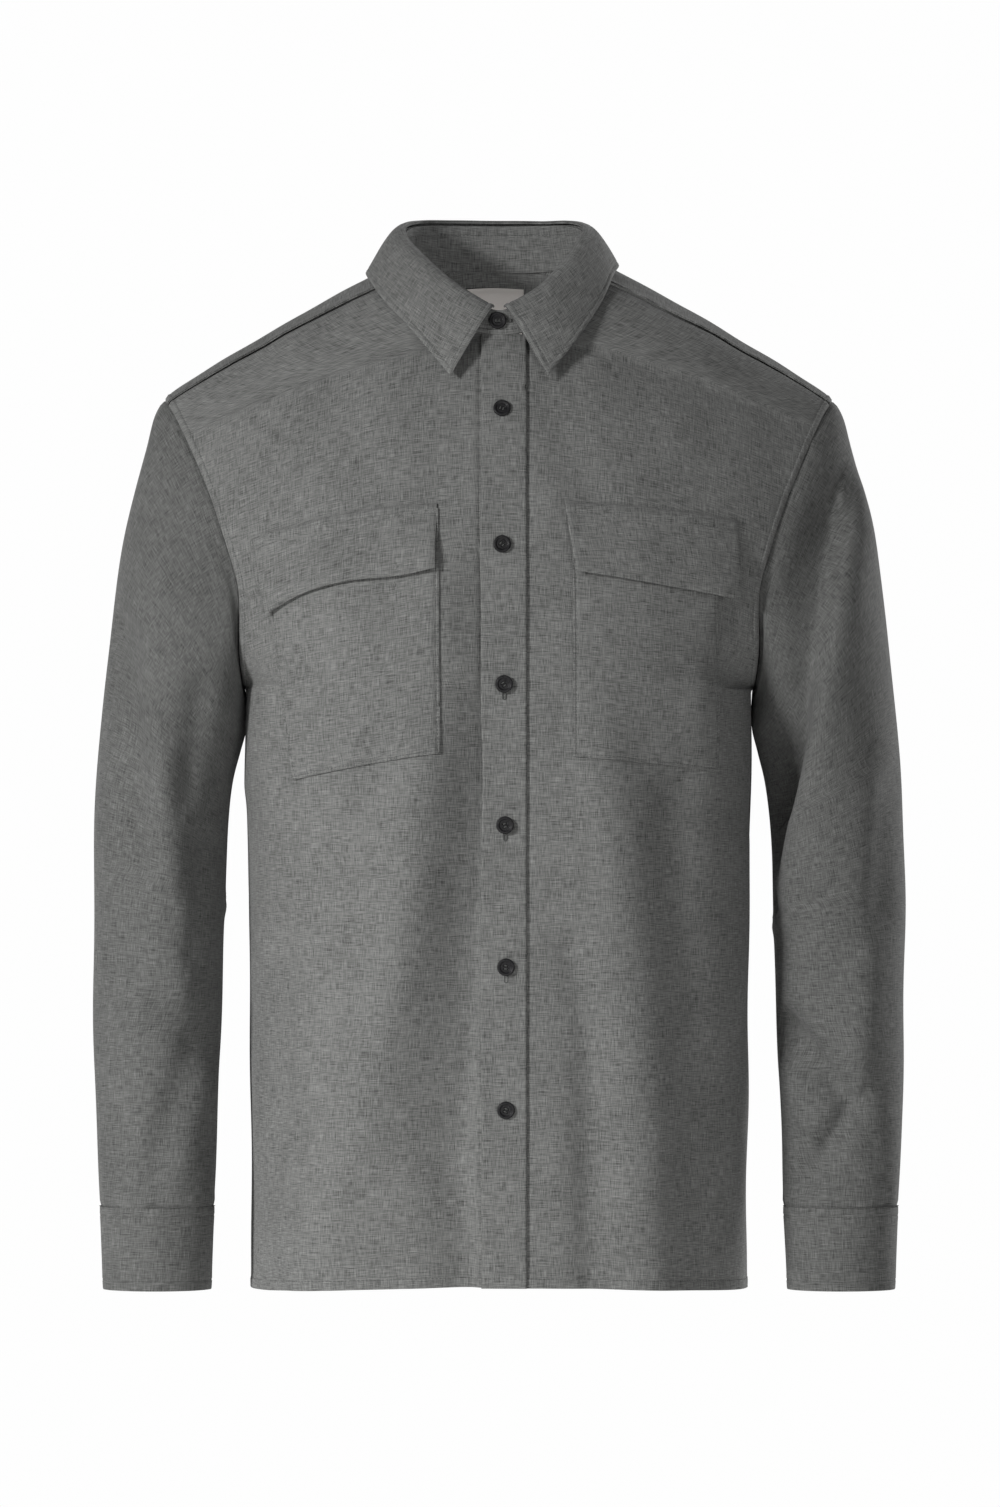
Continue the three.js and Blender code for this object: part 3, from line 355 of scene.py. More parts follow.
def normal_of(surface, a, b, outward, step=1e-3):
    """The unit normal of a surface: the cross product of its change along b and along a."""
    along_a = surface(a + step, b) - surface(a - step, b)
    along_b = surface(a, b + step) - surface(a, b - step)
    normal = unit(np.cross(along_b, along_a))
    return normal if outward else -normal


def fold_height(folds, x, z):
    """The sum over the folds of height times exp(-(distance to the fold's line / reach) squared), with
    one reach on the line's left and one on its right, which makes a fold soft or sharp on either side.
    Rows that go on from the end of the row before are one fold, whose height is that of the nearer row."""
    total = fold = np.zeros(np.broadcast(x, z).shape)
    end = None
    for x1, z1, x2, z2, left, right, high in zip(*folds.values()):
        dx, dz = x2 - x1, z2 - z1
        t = np.clip(((x - x1) * dx + (z - z1) * dz) / (dx * dx + dz * dz), 0, 1)
        off_x, off_z = x - x1 - t * dx, z - z1 - t * dz
        reach = np.where(off_x * dz - off_z * dx > 0, left, right)
        height = high * np.exp(-(off_x**2 + off_z**2) / reach**2)
        if end == (x1, z1):
            fold = np.where(np.abs(height) > np.abs(fold), height, fold)
        else:
            total, fold = total + fold, height
        end = (x2, z2)
    return total + fold


def armhole(turn):
    """The armhole loop: height and depth follow a circle, its depth skewed towards the underarm, and its
    width is looked up by height. turn is 0 at the underarm, half pi in front and pi on the shoulder."""
    z = ARMHOLE_MIDDLE - ARMHOLE_HALF * np.cos(turn)
    in_front = np.sin(turn) >= 0
    t = np.where(in_front, turn, 2 * np.pi - turn)
    y = np.where(
        in_front,
        -ARMHOLE_FRONT * np.sin(t + 0.3 * np.sin(t)),
        ARMHOLE_BACK * np.sin(t + 0.2 * np.sin(t)),
    )
    x = along(ARMHOLE_WIDTHS, "x", z) + np.where(in_front, 0, BACK_WIDTH_EXTRA * np.sin(t) ** 2)
    return stack(x, y, z)


def row_end(at, seam_turn, behind):
    """Where a row ends: on the side seam up to the underarm, then on the armhole."""
    turn = (np.maximum(at, 1) - 1) * seam_turn
    loop = armhole(2 * np.pi - turn if behind else turn)
    side = stack(along(SIDE_SEAM, "x", at), 0.0, mix(HEM, UNDERARM, at))
    return np.where((at <= 1)[..., None], side, loop)


def row_point(start, end, turn, square, drop, across, bend=None):
    """One row: an arc of an oval from start to end, a little squarer than an ellipse. Its height falls
    as out to the power of bend, and a row on the shoulder falls faster towards its end."""
    angle = np.radians(turn)
    fuller = 1 + square * np.sin(np.pi * across) ** 2
    out = np.sin(angle * across) / np.sin(angle) * fuller
    forward = (np.cos(angle * across) - np.cos(angle)) / (1 - np.cos(angle)) * fuller
    if bend is None:
        bend = 1 + np.maximum(1 - start[..., 0] / 30, 0)
    down = (1 - drop) * np.abs(out) ** bend + drop * out**4
    return stack(
        mix(start[..., 0], end[..., 0], out),
        end[..., 1] + (start[..., 1] - end[..., 1]) * forward,
        mix(start[..., 2], end[..., 2], down),
    )


def start_of(rows, at):
    return stack(np.maximum(along(rows, "x", at), 0), along(rows, "y", at), along(rows, "z", at))


def squareness(at):
    return 0.06 * (1 - smooth((at - 1) / 0.6))


def sided(points, side):
    return points * np.array([side, 1.0, 1.0])


def folded(plain, folds, outward):
    """A plain surface raised along its normal by its folds, which die out at the armhole."""

    def surface(across, at):
        across, at = np.broadcast_arrays(np.asarray(across, float), np.asarray(at, float))
        points = plain(across, at)
        near = mix(1, smooth((1 - across) / 0.14), smooth((at - 0.86) / 0.14))
        height = fold_height(folds, points[..., 0], points[..., 2]) * near
        return points + normal_of(plain, across, at, outward) * height[..., None]

    return surface


def front_cloth(side):
    def plain(across, at):
        end = row_end(at, FRONT_SEAM_TURN, False)
        drop = 0.14 * smooth((at - 1.5) / 0.5)
        turn = along(FRONT_ROWS, "turn", at)
        bend = 1 + smooth((1.99 - at) / 0.4)
        start = start_of(FRONT_ROWS, at)
        return sided(row_point(start, end, turn, squareness(at), drop, across, bend), side)

    folds = FRONT_FOLDS
    if side < 0:
        folds = {key: np.concatenate([folds[key], BESIDE_FOLDS[key]]) for key in folds}
    return folded(plain, folds, side < 0)


def back_cloth(side):
    def plain(across, at):
        end = row_end(at, BACK_SEAM_TURN, True)
        drop = 0.05 * smooth((at - 1.5) / 0.5)
        turn = along(BACK_ROWS, "turn", at)
        return sided(row_point(start_of(BACK_ROWS, at), end, turn, squareness(at), drop, across), side)

    return folded(plain, BACK_FOLDS, side > 0)


def yoke_cloth(side):
    def surface(across, at):
        across, at = np.broadcast_arrays(np.asarray(across, float), np.asarray(at, float))
        end = armhole(mix(FRONT_SEAM_TURN, 2 * np.pi - BACK_SEAM_TURN, at))
        drop = mix(0.14, 0.05, smooth(at))
        start = start_of(YOKE_ROWS, at)
        return sided(row_point(start, end, along(YOKE_ROWS, "turn", at), 0, drop, across), side)

    return surface


def ring_point(rings, turn, at, skew):
    """A ring of a tube: from its innermost to its outermost point along a cosine, and as deep as a sine."""
    share = 0.5 - 0.5 * np.cos(turn)
    x = mix(along(rings, "inX", at), along(rings, "outX", at), share)
    z = mix(along(rings, "inZ", at), along(rings, "outZ", at), share)
    y = along(rings, "y", at) - along(rings, "deep", at) * np.sin(turn + skew * np.sin(turn))
    return stack(x, y, z)


def sleeve_cloth(side):
    """The sleeve: rings whose first is pulled onto the armhole, raised by the folds of its front and back."""

    def plain(turn, at):
        skew = 0.3 * (1 - smooth(at / 0.5))
        pull = 1 - smooth(at / 0.24)
        seam = armhole(np.mod(turn, 2 * np.pi)) - ring_point(SLEEVE_RINGS, turn, np.zeros_like(at), 0.3)
        return sided(ring_point(SLEEVE_RINGS, turn, at, skew) + seam * pull[..., None], side)

    def surface(turn, at):
        turn, at = np.broadcast_arrays(np.asarray(turn, float), np.asarray(at, float))
        points = plain(turn, at)
        front = fold_height(SLEEVE_FOLDS[side, "front"], points[..., 0], points[..., 2])
        back = fold_height(SLEEVE_FOLDS[side, "back"], points[..., 0], points[..., 2])
        fade = smooth(np.abs(np.sin(turn)) / 0.45) * smooth(at / 0.12)
        height = np.where(np.sin(turn) >= 0, front, back) * fade
        return points + normal_of(plain, turn, at, side > 0) * height[..., None]

    return surface


def cuff_cloth(side):
    return lambda turn, at: sided(ring_point(CUFF_RINGS, turn, at, 0), side)


CLOTH_MAKERS = {
    "front": front_cloth, "back": back_cloth, "yoke": yoke_cloth,
    "sleeve": sleeve_cloth, "cuff": cuff_cloth,
}
CLOTHS = {(side, part): make(side) for side in SIDE_NAMES for part, make in CLOTH_MAKERS.items()}
OUTWARD = {(side, part): (side < 0) == (part in ("front", "yoke")) for side, part in CLOTHS}


def cloth_normal(side, part, a, at):
    """The outward normals of one of the shirt's cloths."""
    return normal_of(CLOTHS[side, part], a, at, OUTWARD[side, part])


def whole(part):
    """Both halves of a surface, with across running from -1 on the wearer's right to 1 on the left."""

    def surface(a, at):
        a, at = np.broadcast_arrays(np.asarray(a, float), np.asarray(at, float))
        left, right = CLOTHS[LEFT, part](a, at), CLOTHS[RIGHT, part](-a, at)
        return np.where((a < 0)[..., None], right, left)

    return surface


def stand_point(turn, up):
    """The collar stand: straight from its foot to its top, both looked up round the neck, and a little
    narrower on the wearer's left. Past the middle of the front it runs on along the other side."""
    side = np.where(turn < 0, -1.0, 1.0)
    past = np.abs(turn) > 1
    at = np.where(past, 2 - np.abs(turn), np.abs(turn))
    x = mix(along(COLLAR_LINE, "footX", at), along(COLLAR_LINE, "topX", at), up)
    narrow = (0.02 + 0.08 * np.clip(up, 0, 1)) * smooth((0.95 - at) / 0.3)
    x = x * np.where(side * np.where(past, -1, 1) > 0, 1 - narrow, 1)
    y, z = (
        mix(along(COLLAR_LINE, f"foot{c}", at, True, True), along(COLLAR_LINE, f"top{c}", at, True, True), up)
        for c in "YZ"
    )
    return stack(x * np.where(past, -side, side), y, z)


def outward_at(turn):
    """Level and square to the collar's line."""
    run = stand_point(turn + 0.01, 0.5) - stand_point(turn - 0.01, 0.5)
    return -unit(stack(run[..., 1], -run[..., 0], 0.0))


def lap(turn):
    return STAND_LAP * smooth((turn - 0.78) / 0.14)


def lapped_stand(turn, up):
    return stand_point(turn, up) + outward_at(turn) * lap(turn)[..., None]


def leaf_point(turn, down):
    """The collar leaf: a parabola from the top of the stand, first outwards, then down to its free edge."""
    share = np.clip(np.abs(turn) / LEAF_FRONT, 0, 1)
    side = np.where(turn < 0, -1.0, 1.0)
    narrow = np.where(side > 0, 1 - 0.14 * smooth((0.95 - share) / 0.3), 1.0)
    edge = stack(
        side * along(LEAF_EDGE, "x", share) * narrow,
        along(LEAF_EDGE, "y", share, True),
        along(LEAF_EDGE, "z", share, True),
    )
    outward = outward_at(turn)
    start = stand_point(turn, 1.0) + outward * (lap(np.abs(turn)) - 1.2)[..., None]
    start[..., 2] += LEAF_ABOVE
    corner = start + outward * LEAF_ROLL
    corner[..., 2] += 5
    down = np.asarray(down)[..., None]
    return start * (1 - down) ** 2 + corner * 2 * down * (1 - down) + edge * down**2


def across_at(x, at):
    """How far across a front row a distance x from the centre lies."""
    start = np.maximum(along(FRONT_ROWS, "x", at), 0)
    angle = np.radians(along(FRONT_ROWS, "turn", at))
    end = row_end(at, FRONT_SEAM_TURN, False)[..., 0]
    return np.arcsin(np.clip((x - start) / (end - start) * np.sin(angle), -1, 1)) / angle


def place_seen_at(surface, x, z, across, at, low=-0.5):
    """The place on a surface that is seen from the front at x and z, by Newton's steps."""
    x, z = np.broadcast_arrays(np.asarray(x, float), np.asarray(z, float))
    across, at = np.full(x.shape, across, float), np.full(x.shape, at, float)
    step = 1e-4
    for _ in range(12):
        here = surface(across, at)
        a = (surface(across + step, at) - here) / step
        b = (surface(across, at + step) - here) / step
        size = a[..., 0] * b[..., 2] - a[..., 2] * b[..., 0]
        to_x, to_z = x - here[..., 0], z - here[..., 2]
        across = np.clip(across + (to_x * b[..., 2] - to_z * b[..., 0]) / size, low, 1)
        at = np.clip(at + (to_z * a[..., 0] - to_x * a[..., 2]) / size, 0, 2)
    return across, at


# Grids: where the columns and rows of a piece stand, and the lengths that seams and the weave follow.

FREE_EDGE = np.array([0, 0.35, 0.9])
STITCHED = np.array([-1.3, -0.6, 0, 0.6, 1.3])
STEP = 3.3


def marks(*lines):
    """Distances from an edge where the grid is fine: the edge itself and each line of stitches."""
    found = [FREE_EDGE] + [line + STITCHED for line in lines]
    return np.unique(np.round(np.concatenate(found), 3))


def mark_at(places, distance):
    """The number of the mark nearest to a distance."""
    return int(np.argmin(np.abs(places - distance)))


def run_along(points, axis=0):
    """The distance covered along an axis of a grid of points, from 0 at its start."""
    steps = np.linalg.norm(np.diff(points, axis=axis), axis=-1)
    return np.concatenate([np.zeros_like(np.take(steps, [0], axis)), np.cumsum(steps, axis)], axis)


def fine_places(length, step, start_marks, end_marks):
    """Places from 0 to length: fine at the marks of both ends and about a step apart between them."""
    start, end = start_marks, length - end_marks[::-1]
    count = max(int((end[0] - start[-1]) / step), 2)
    return np.concatenate([start, np.linspace(start[-1], end[0], count + 1)[1:-1], end])


def rows_of(surface, column, low, high, step, start_marks, end_marks):
    """Rows by their distance up one column of a surface. Gives the places and the distances."""
    samples = np.linspace(low, high, 600)
    length = run_along(surface(np.full(600, column), samples))
    places = fine_places(length[-1], step, start_marks, end_marks)
    return np.interp(places, length, samples), places, length[-1]


def columns_of(surface, at, low, high, step, start_marks, end_marks):
    """Columns by their distance along each row, from low to high across it, which are numbers or functions
    of the row. All rows get as many columns as the longest. Gives places and distances from both ends."""
    low, high = (limit(at) if callable(limit) else np.full(at.shape, float(limit)) for limit in (low, high))
    samples = np.linspace(0, 1, 97)
    a = low[:, None] + (high - low)[:, None] * samples
    length = run_along(surface(a, np.broadcast_to(at[:, None], a.shape)), 1)
    total = length[:, -1]
    inner = total - start_marks[-1] - end_marks[-1]
    count = int(max(inner.max() / step, 4))
    between = np.linspace(0, 1, count + 1)[1:-1]
    middle = start_marks[-1] + inner[:, None] * between
    ends = total[:, None] - end_marks[::-1]
    starts = np.broadcast_to(start_marks, (len(at), len(start_marks)))
    distance = np.concatenate([starts, middle, ends], axis=1)
    places = np.stack([np.interp(d, l, s) for d, l, s in zip(distance, length, a)])
    return places, distance, total[:, None] - distance


class Grid:
    """A grid on a surface. Its columns stand at the places a and its rows at the places at. u and e are the
    distances from its first and last column, v and w those from its first and last row. A ring leaves out
    the last column, which is its first one again."""

    def __init__(self, surface, outward, rows, columns, ring=False):
        at, v, tall = rows_of(surface, *rows)
        kept = slice(None, -1 if ring else None)
        self.a, self.u, self.e = (found[:, kept] for found in columns_of(surface, at, *columns))
        self.at, self.v = (np.broadcast_to(row[:, None], self.a.shape) for row in (at, v))
        self.w = tall - self.v
        self.points = surface(self.a, self.at)
        self.normal = normal_of(surface, self.a, self.at, outward)


def swapped(surface):
    return lambda a, at: surface(at, a)


def dent(distance, width):
    return np.exp(-((distance / width) ** 2))


def ditch(distance, depth=0.9, width=1.1):
    """The groove beside a seam, deepest on the seam itself."""
    return -depth * dent(distance, width)


def stitch_line(distance, line, depth=0.38):
    """The groove that a row of stitches pulls into the cloth, with the cloth swelling beside it."""
    return 0.12 * dent(distance - line, 2.6) - depth * dent(distance - line, 0.75)


def felled(distance, line, depth=0.6, rise=0.45):
    """A seam turned over and top-stitched: the cloth stands higher from the seam to past its stitches."""
    return rise * smooth((line + 1.1 - distance) / 1.6) + stitch_line(distance, line, depth)


def hem_relief(distance, line=HEM_STITCH, rise=0.5):
    """A doubled edge: the cloth stands a little higher from the free edge to just past its stitches."""
    return rise * smooth((line + 1.4 - distance) / 1.6) + stitch_line(distance, line)


def rounded(distance, drop, reach=1.2):
    """How far an edge falls away as it rounds off over its reach."""
    return -drop * (1 - smooth(distance / reach))


def puckers(distance, run, reach, height, seed):
    """Small ripples that a seam draws into the cloth, across its run and dying out away from it."""
    wave = np.sin(run / 5.3 + seed) + 0.8 * np.sin(run / 8.7 + 2.1 * seed)
    wave = wave + 0.6 * np.sin(run / 3.1 + 0.7 * seed)
    return height * wave / 2.4 * dent(distance - reach * 0.35, reach)


def unevenness(points, seed, height=0.7, size=46.0):
    """A gentle swell of the cloth: a sum of plane waves in different directions and lengths."""
    random = np.random.default_rng(seed)
    total = np.zeros(points.shape[:-1])
    for _ in range(9):
        direction = unit(random.normal(size=3))
        wave = 2 * np.pi / (size * random.uniform(0.8, 2.6))
        total += np.sin(points @ direction * wave + random.uniform(0, 6.28)) / 3
    return height * total


# Meshes


def grid_normals(points, outward_like):
    """Normals of a grid of points from its own columns and rows, on the side of the given directions."""
    normal = unit(np.cross(np.gradient(points, axis=1), np.gradient(points, axis=0)))
    flip = np.sign((normal * outward_like).sum(-1, keepdims=True))
    return normal * np.where(flip == 0, 1, flip)


def make_mesh(name, vertices, faces, loop_uv=None):
    """A mesh object from arrays of points in millimetres, four-sided faces and texture places."""
    mesh = bpy.data.meshes.new(name)
    mesh.vertices.add(len(vertices))
    mesh.vertices.foreach_set("co", (np.asarray(vertices) * MM).astype(np.float32).ravel())
    corners = faces.shape[1]
    mesh.loops.add(faces.size)
    mesh.loops.foreach_set("vertex_index", faces.astype(np.int32).ravel())
    mesh.polygons.add(len(faces))
    mesh.polygons.foreach_set("loop_start", np.arange(0, faces.size, corners, dtype=np.int32))
    mesh.polygons.foreach_set("loop_total", np.full(len(faces), corners, dtype=np.int32))
    mesh.polygons.foreach_set("use_smooth", np.ones(len(faces), dtype=bool))
    if loop_uv is not None:
        layer = mesh.uv_layers.new(name="cloth")
        layer.data.foreach_set("uv", (loop_uv * MM).astype(np.float32).ravel())
    mesh.update(calc_edges=True)
    mesh.validate()
    thing = bpy.data.objects.new(name, mesh)
    bpy.context.scene.collection.objects.link(thing)
    return thing


def grid_index(rows, columns, ring=False, loop=False):
    """Numbers for a grid's vertices. A ring's columns, and a loop's rows, start again after the last."""
    i, j = np.meshgrid(np.arange(rows + loop), np.arange(columns + ring), indexing="ij")
    return i % rows * columns + j % columns


def cells(index):
    """The four corners of every cell of a grid of numbers, in order round the cell."""
    corners = index[:-1, :-1], index[:-1, 1:], index[1:, 1:], index[1:, :-1]
    return np.stack(corners, -1).reshape(-1, 4)


def shell(name, outer, inner, u, v, ring=False):
    """A closed wall between an outer and an inner grid. A ring joins its last column to its first."""
    rows, columns = outer.shape[:2]
    index = grid_index(rows, columns, ring)
    under = index + rows * columns
    uv = np.stack(np.broadcast_arrays(u, v), axis=-1).astype(float)
    if ring:
        last = uv[:, :1].copy()
        last[..., 0] = uv[:, -1:, 0] + (uv[:, 1:2, 0] - uv[:, :1, 0])
        uv = np.concatenate([uv, last], axis=1)
    place = np.arange(uv[..., 0].size).reshape(uv.shape[:2])
    turn = [0, 3, 2, 1]
    faces, uv_faces = [cells(index), cells(under)[:, turn]], [cells(place), cells(place)[:, turn]]
    edges = [((0, slice(None)), True), ((-1, slice(None)), False)]
    if not ring:
        edges += [((slice(None), 0), False), ((slice(None), -1), True)]
    for edge, turned in edges:
        top, foot = index[edge], under[edge]
        quads = np.stack([top[:-1], top[1:], foot[1:], foot[:-1]], 1)
        p, q = place[edge][:-1], place[edge][1:]
        faces.append(quads if turned else quads[:, turn])
        uv_faces.append(np.stack([p, q, q, p] if turned else [p, p, q, q], 1))
    faces, uv_faces = np.concatenate(faces), np.concatenate(uv_faces)
    vertices = np.concatenate([outer.reshape(-1, 3), inner.reshape(-1, 3)])
    a, b, c, d = (vertices[faces[:, k]] for k in range(4))
    if (np.cross(c - a, d - b) * (a + c)).sum() < 0:
        faces, uv_faces = faces[:, ::-1], uv_faces[:, ::-1]
    return make_mesh(name, vertices, faces, uv.reshape(-1, 2)[uv_faces].reshape(-1, 2))


def finish_piece(piece, finish, slot, *nodes):
    """Gives a piece its finish and its place in the frame, and hides the solids that it stands for."""
    piece.data.materials.append(finishes()[finish])
    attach(piece, "root")
    if nodes:
        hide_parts(*nodes)


def area_of(grid):
    """Half the cross product of the two diagonals of each cell, added up."""
    a, b = grid[1:, 1:] - grid[:-1, :-1], grid[1:, :-1] - grid[:-1, 1:]
    return np.linalg.norm(np.cross(a, b), axis=2).sum() / 2


def declare_sheet(piece, width, length, area):
    area = min(area, width * length)
    area * MM * MM


def finish_sheet(piece, outer, node, finish="cloth", slot="cloth", ring=False):
    finish_piece(piece, finish, slot, node)
    rows = np.concatenate([outer, outer[:, :1]], axis=1) if ring else outer
    width, length = run_along(rows, 1)[:, -1].max(), run_along(rows)[-1].max()
    declare_sheet(piece, width, length, area_of(rows))


# Materials


class Socket:
    """A shader socket whose sums and products are Math nodes."""

    def __init__(self, shader, link):
        self.shader, self.link = shader, link

    def _math(self, operation, *values):
        return self.shader.node("ShaderNodeMath", {"operation": operation}, dict(enumerate(values)))[0]

    def __add__(self, other):
        return self._math("ADD", self, other)

    def __sub__(self, other):
        return self._math("SUBTRACT", self, other)

    def __rsub__(self, other):
        return self._math("SUBTRACT", other, self)

    def __mul__(self, other):
        return self._math("MULTIPLY", self, other)

    def clipped(self):
        return self.in_range(0, 1)

    def in_range(self, low, high, to_low=0.0, to_high=1.0):
        values = {"Value": self, "From Min": low, "From Max": high, "To Min": to_low, "To Max": to_high}
        return self.shader.node("ShaderNodeMapRange", {"clamp": True}, values)[0]

    __radd__, __rmul__ = __add__, __mul__


class Shader:
    """A material being built. node adds any node from its type, settings and socket values or links."""

    def __init__(self, name, roughness, **constants):
        self.material = bpy.data.materials.new(name)
        self.material.use_nodes = True
        self.tree = self.material.node_tree
        self.surface = self.tree.nodes["Principled BSDF"]
        self.set(Roughness=roughness, **constants)

    def node(self, kind, settings=None, values=None):
        node = self.tree.nodes.new(kind)
        for key, value in (settings or {}).items():
            setattr(node, key, value)
        for key, value in (values or {}).items():
            self._feed(node.inputs[key], value)
        return [Socket(self, output) for output in node.outputs if output.enabled]

    def _feed(self, target, value):
        if isinstance(value, Socket):
            self.tree.links.new(value.link, target)
        else:
            target.default_value = value

    def set(self, **values):
        for key, value in values.items():
            self._feed(self.surface.inputs[key.replace("_", " ")], value)

    def mixed(self, factor, first, second):
        """Blends two colours."""
        values = {0: factor, 6: (*first, 1), 7: (*second, 1)}
        return self.node("ShaderNodeMix", {"data_type": "RGBA"}, values)[0]

    def bump(self, height, distance, strength=1.0, normal=None):
        values = {"Height": height, "Distance": distance, "Strength": strength}
        if normal is not None:
            values["Normal"] = normal
        return self.node("ShaderNodeBump", None, values)[0]

    def noise(self, vector, scale, detail=2.0, rough=0.5):
        values = {"Vector": vector, "Scale": scale, "Detail": detail, "Roughness": rough}
        return self.node("ShaderNodeTexNoise", None, values)[0]

    def streaks(self, vector, scale, detail=2.0, rough=0.5):
        """Noise whose grains are longer one way: it has its own scale along each axis."""
        placed = self.node("ShaderNodeMapping", None, {"Vector": vector, "Scale": scale})[0]
        return self.noise(placed, 1.0, detail, rough)

    def ribs(self, vector, axis, scale, **values):
        settings = {"bands_direction": axis}
        return self.node("ShaderNodeTexWave", settings, {"Vector": vector, "Scale": scale, **values})[1]

    def cloth_place(self):
        return self.node("ShaderNodeUVMap", {"uv_map": "cloth"})[0]

    def object_place(self):
        return self.node("ShaderNodeTexCoord")[3]


# The tones of the melange: scale along u and v, detail and roughness of the noise, and its weight.
MELANGE = {
    "warp": ((2050, 120, 1), 1.0, 0.5, 0.98),
    "weft": ((110, 2050, 1), 1.0, 0.5, 1.08),
    "fibre": ((1300, 1300, 1), 2.0, 0.7, 0.12),
    "slub": ((45, 700, 1), 2.0, 0.5, 0.45),
    "thick": ((800, 50, 1), 2.0, 0.5, 0.4),
    "cloud": ((24, 22, 1), 3.0, 0.55, 0.3),
}
TONE_MIDDLE = 0.45
WEAVE = {"scale": 260.0, "Distortion": 1.5, "Detail": 1.0}


def melange_cloth(name, dark, light):
    """Grey melange: yarns of lighter and darker fibres that show as short streaks along warp and weft,
    a soft cloudiness over a few centimetres, a fine weave and a faint nap."""
    shader = Shader(name, 0.92, Sheen_Weight=0.12, Sheen_Roughness=0.5, Specular_IOR_Level=0.25)
    cloth = shader.cloth_place()
    found = {key: shader.streaks(cloth, *row[:3]) for key, row in MELANGE.items()}
    tone = TONE_MIDDLE
    for key, row in MELANGE.items():
        tone = tone + (found[key] - 0.5) * row[3]
    shader.set(Base_Color=shader.mixed(tone.clipped(), dark, light))
    weave, across = (shader.ribs(cloth, axis, **WEAVE) for axis in "XY")
    height = weave * 0.25 + across * 0.25 + found["warp"] * 0.6 + found["weft"] * 0.6 + found["fibre"] * 0.5
    nap = shader.bump(shader.streaks(cloth, (130, 130, 1), 3.0, 0.6), 0.0006, 0.5)
    shader.set(Normal=shader.bump(height, 0.00022, 0.8, nap))
    return shader.material


def thread_finish(name, color):
    """Twisted thread, lighter and darker along its turns."""
    shader = Shader(name, 0.7, Specular_IOR_Level=0.3)
    twist = shader.noise(shader.object_place(), 2600.0, 2.0, 0.6)
    shader.set(Base_Color=shader.mixed(twist, [c * 0.7 for c in color], [c * 1.25 for c in color]))
    shader.set(Normal=shader.bump(twist, 0.00015, 0.6))
    return shader.material


def button_finish(name):
    """Black moulded plastic, satin, with faint lighter marbling and fine scratches in its gloss."""
    shader = Shader(name, 0.4, Specular_IOR_Level=0.3)
    place = shader.object_place()
    marble = shader.streaks(place, (420, 168, 420), 4.0, 0.6).in_range(0.35, 0.75)
    shader.set(Base_Color=shader.mixed(marble, (0.007, 0.007, 0.008), (0.022, 0.021, 0.022)))
    fine = shader.noise(place, 3000.0, 2.0, 0.5)
    shader.set(Roughness=fine.in_range(0.3, 0.7, 0.34, 0.5))
    shader.set(Normal=shader.bump(fine, 0.00002, 0.4))
    return shader.material


def label_finish(name):
    """A soft woven tape: close ribs across it, and a slightly uneven warm white."""
    shader = Shader(name, 0.8, Sheen_Weight=0.1)
    cloth = shader.cloth_place()
    rib = shader.ribs(cloth, "Y", 420.0, Distortion=0.4)
    patch = shader.streaks(cloth, (90, 240, 1), 3.0, 0.6)
    shader.set(Base_Color=shader.mixed(patch, (0.88, 0.82, 0.78), (0.94, 0.90, 0.86)))
    shader.set(Normal=shader.bump(rib, 0.00012, 0.6))
    return shader.material


FINISHES = {}


def finishes():
    """The shirt's materials, made once."""
    if not FINISHES:
        colours = bpy.context.scene.shirt_colours
        yarns = tuple(colours.cloth_dark), tuple(colours.cloth_light)
        # Painted shade: the sleeves and cuffs get a darker copy of the body's cloth, standing in for the
        # shade that falls on them beside the body.
        darker = ([tone * colours.sleeve_painted_shade for tone in yarn] for yarn in yarns)
        FINISHES["cloth"] = melange_cloth("grey_melange", *yarns)
        FINISHES["sleeve"] = melange_cloth("grey_melange_sleeves_painted_shade", *darker)
        FINISHES["thread"] = thread_finish("grey_thread", tuple(colours.thread))
        FINISHES["button"] = button_finish("black_button")
        FINISHES["label"] = label_finish("label_tape")
    return FINISHES


# Stitches, which all go into one mesh

STITCH_RUNS = []


def sew(points, normals):
    """Keeps a line on the cloth, with its normals, to be stitched at the end."""
    STITCH_RUNS.append((points, unit(normals)))


def sew_edge(outer, normals, edge, distance):
    """Stitches that run beside an edge of a grid: start and end are its columns, foot and top its rows."""
    nearest = mark_at(marks(distance), distance)
    pick = {
        "start": (slice(None), nearest), "end": (slice(None), -1 - nearest),
        "foot": (nearest, slice(None)), "top": (-1 - nearest, slice(None)),
    }[edge]
    sew(outer[pick], normals[pick])


def looked_up(where, length, rows):
    """Points along a line of rows, at distances along it."""
    return np.stack([np.interp(where, length, rows[:, k]) for k in range(3)], axis=-1)


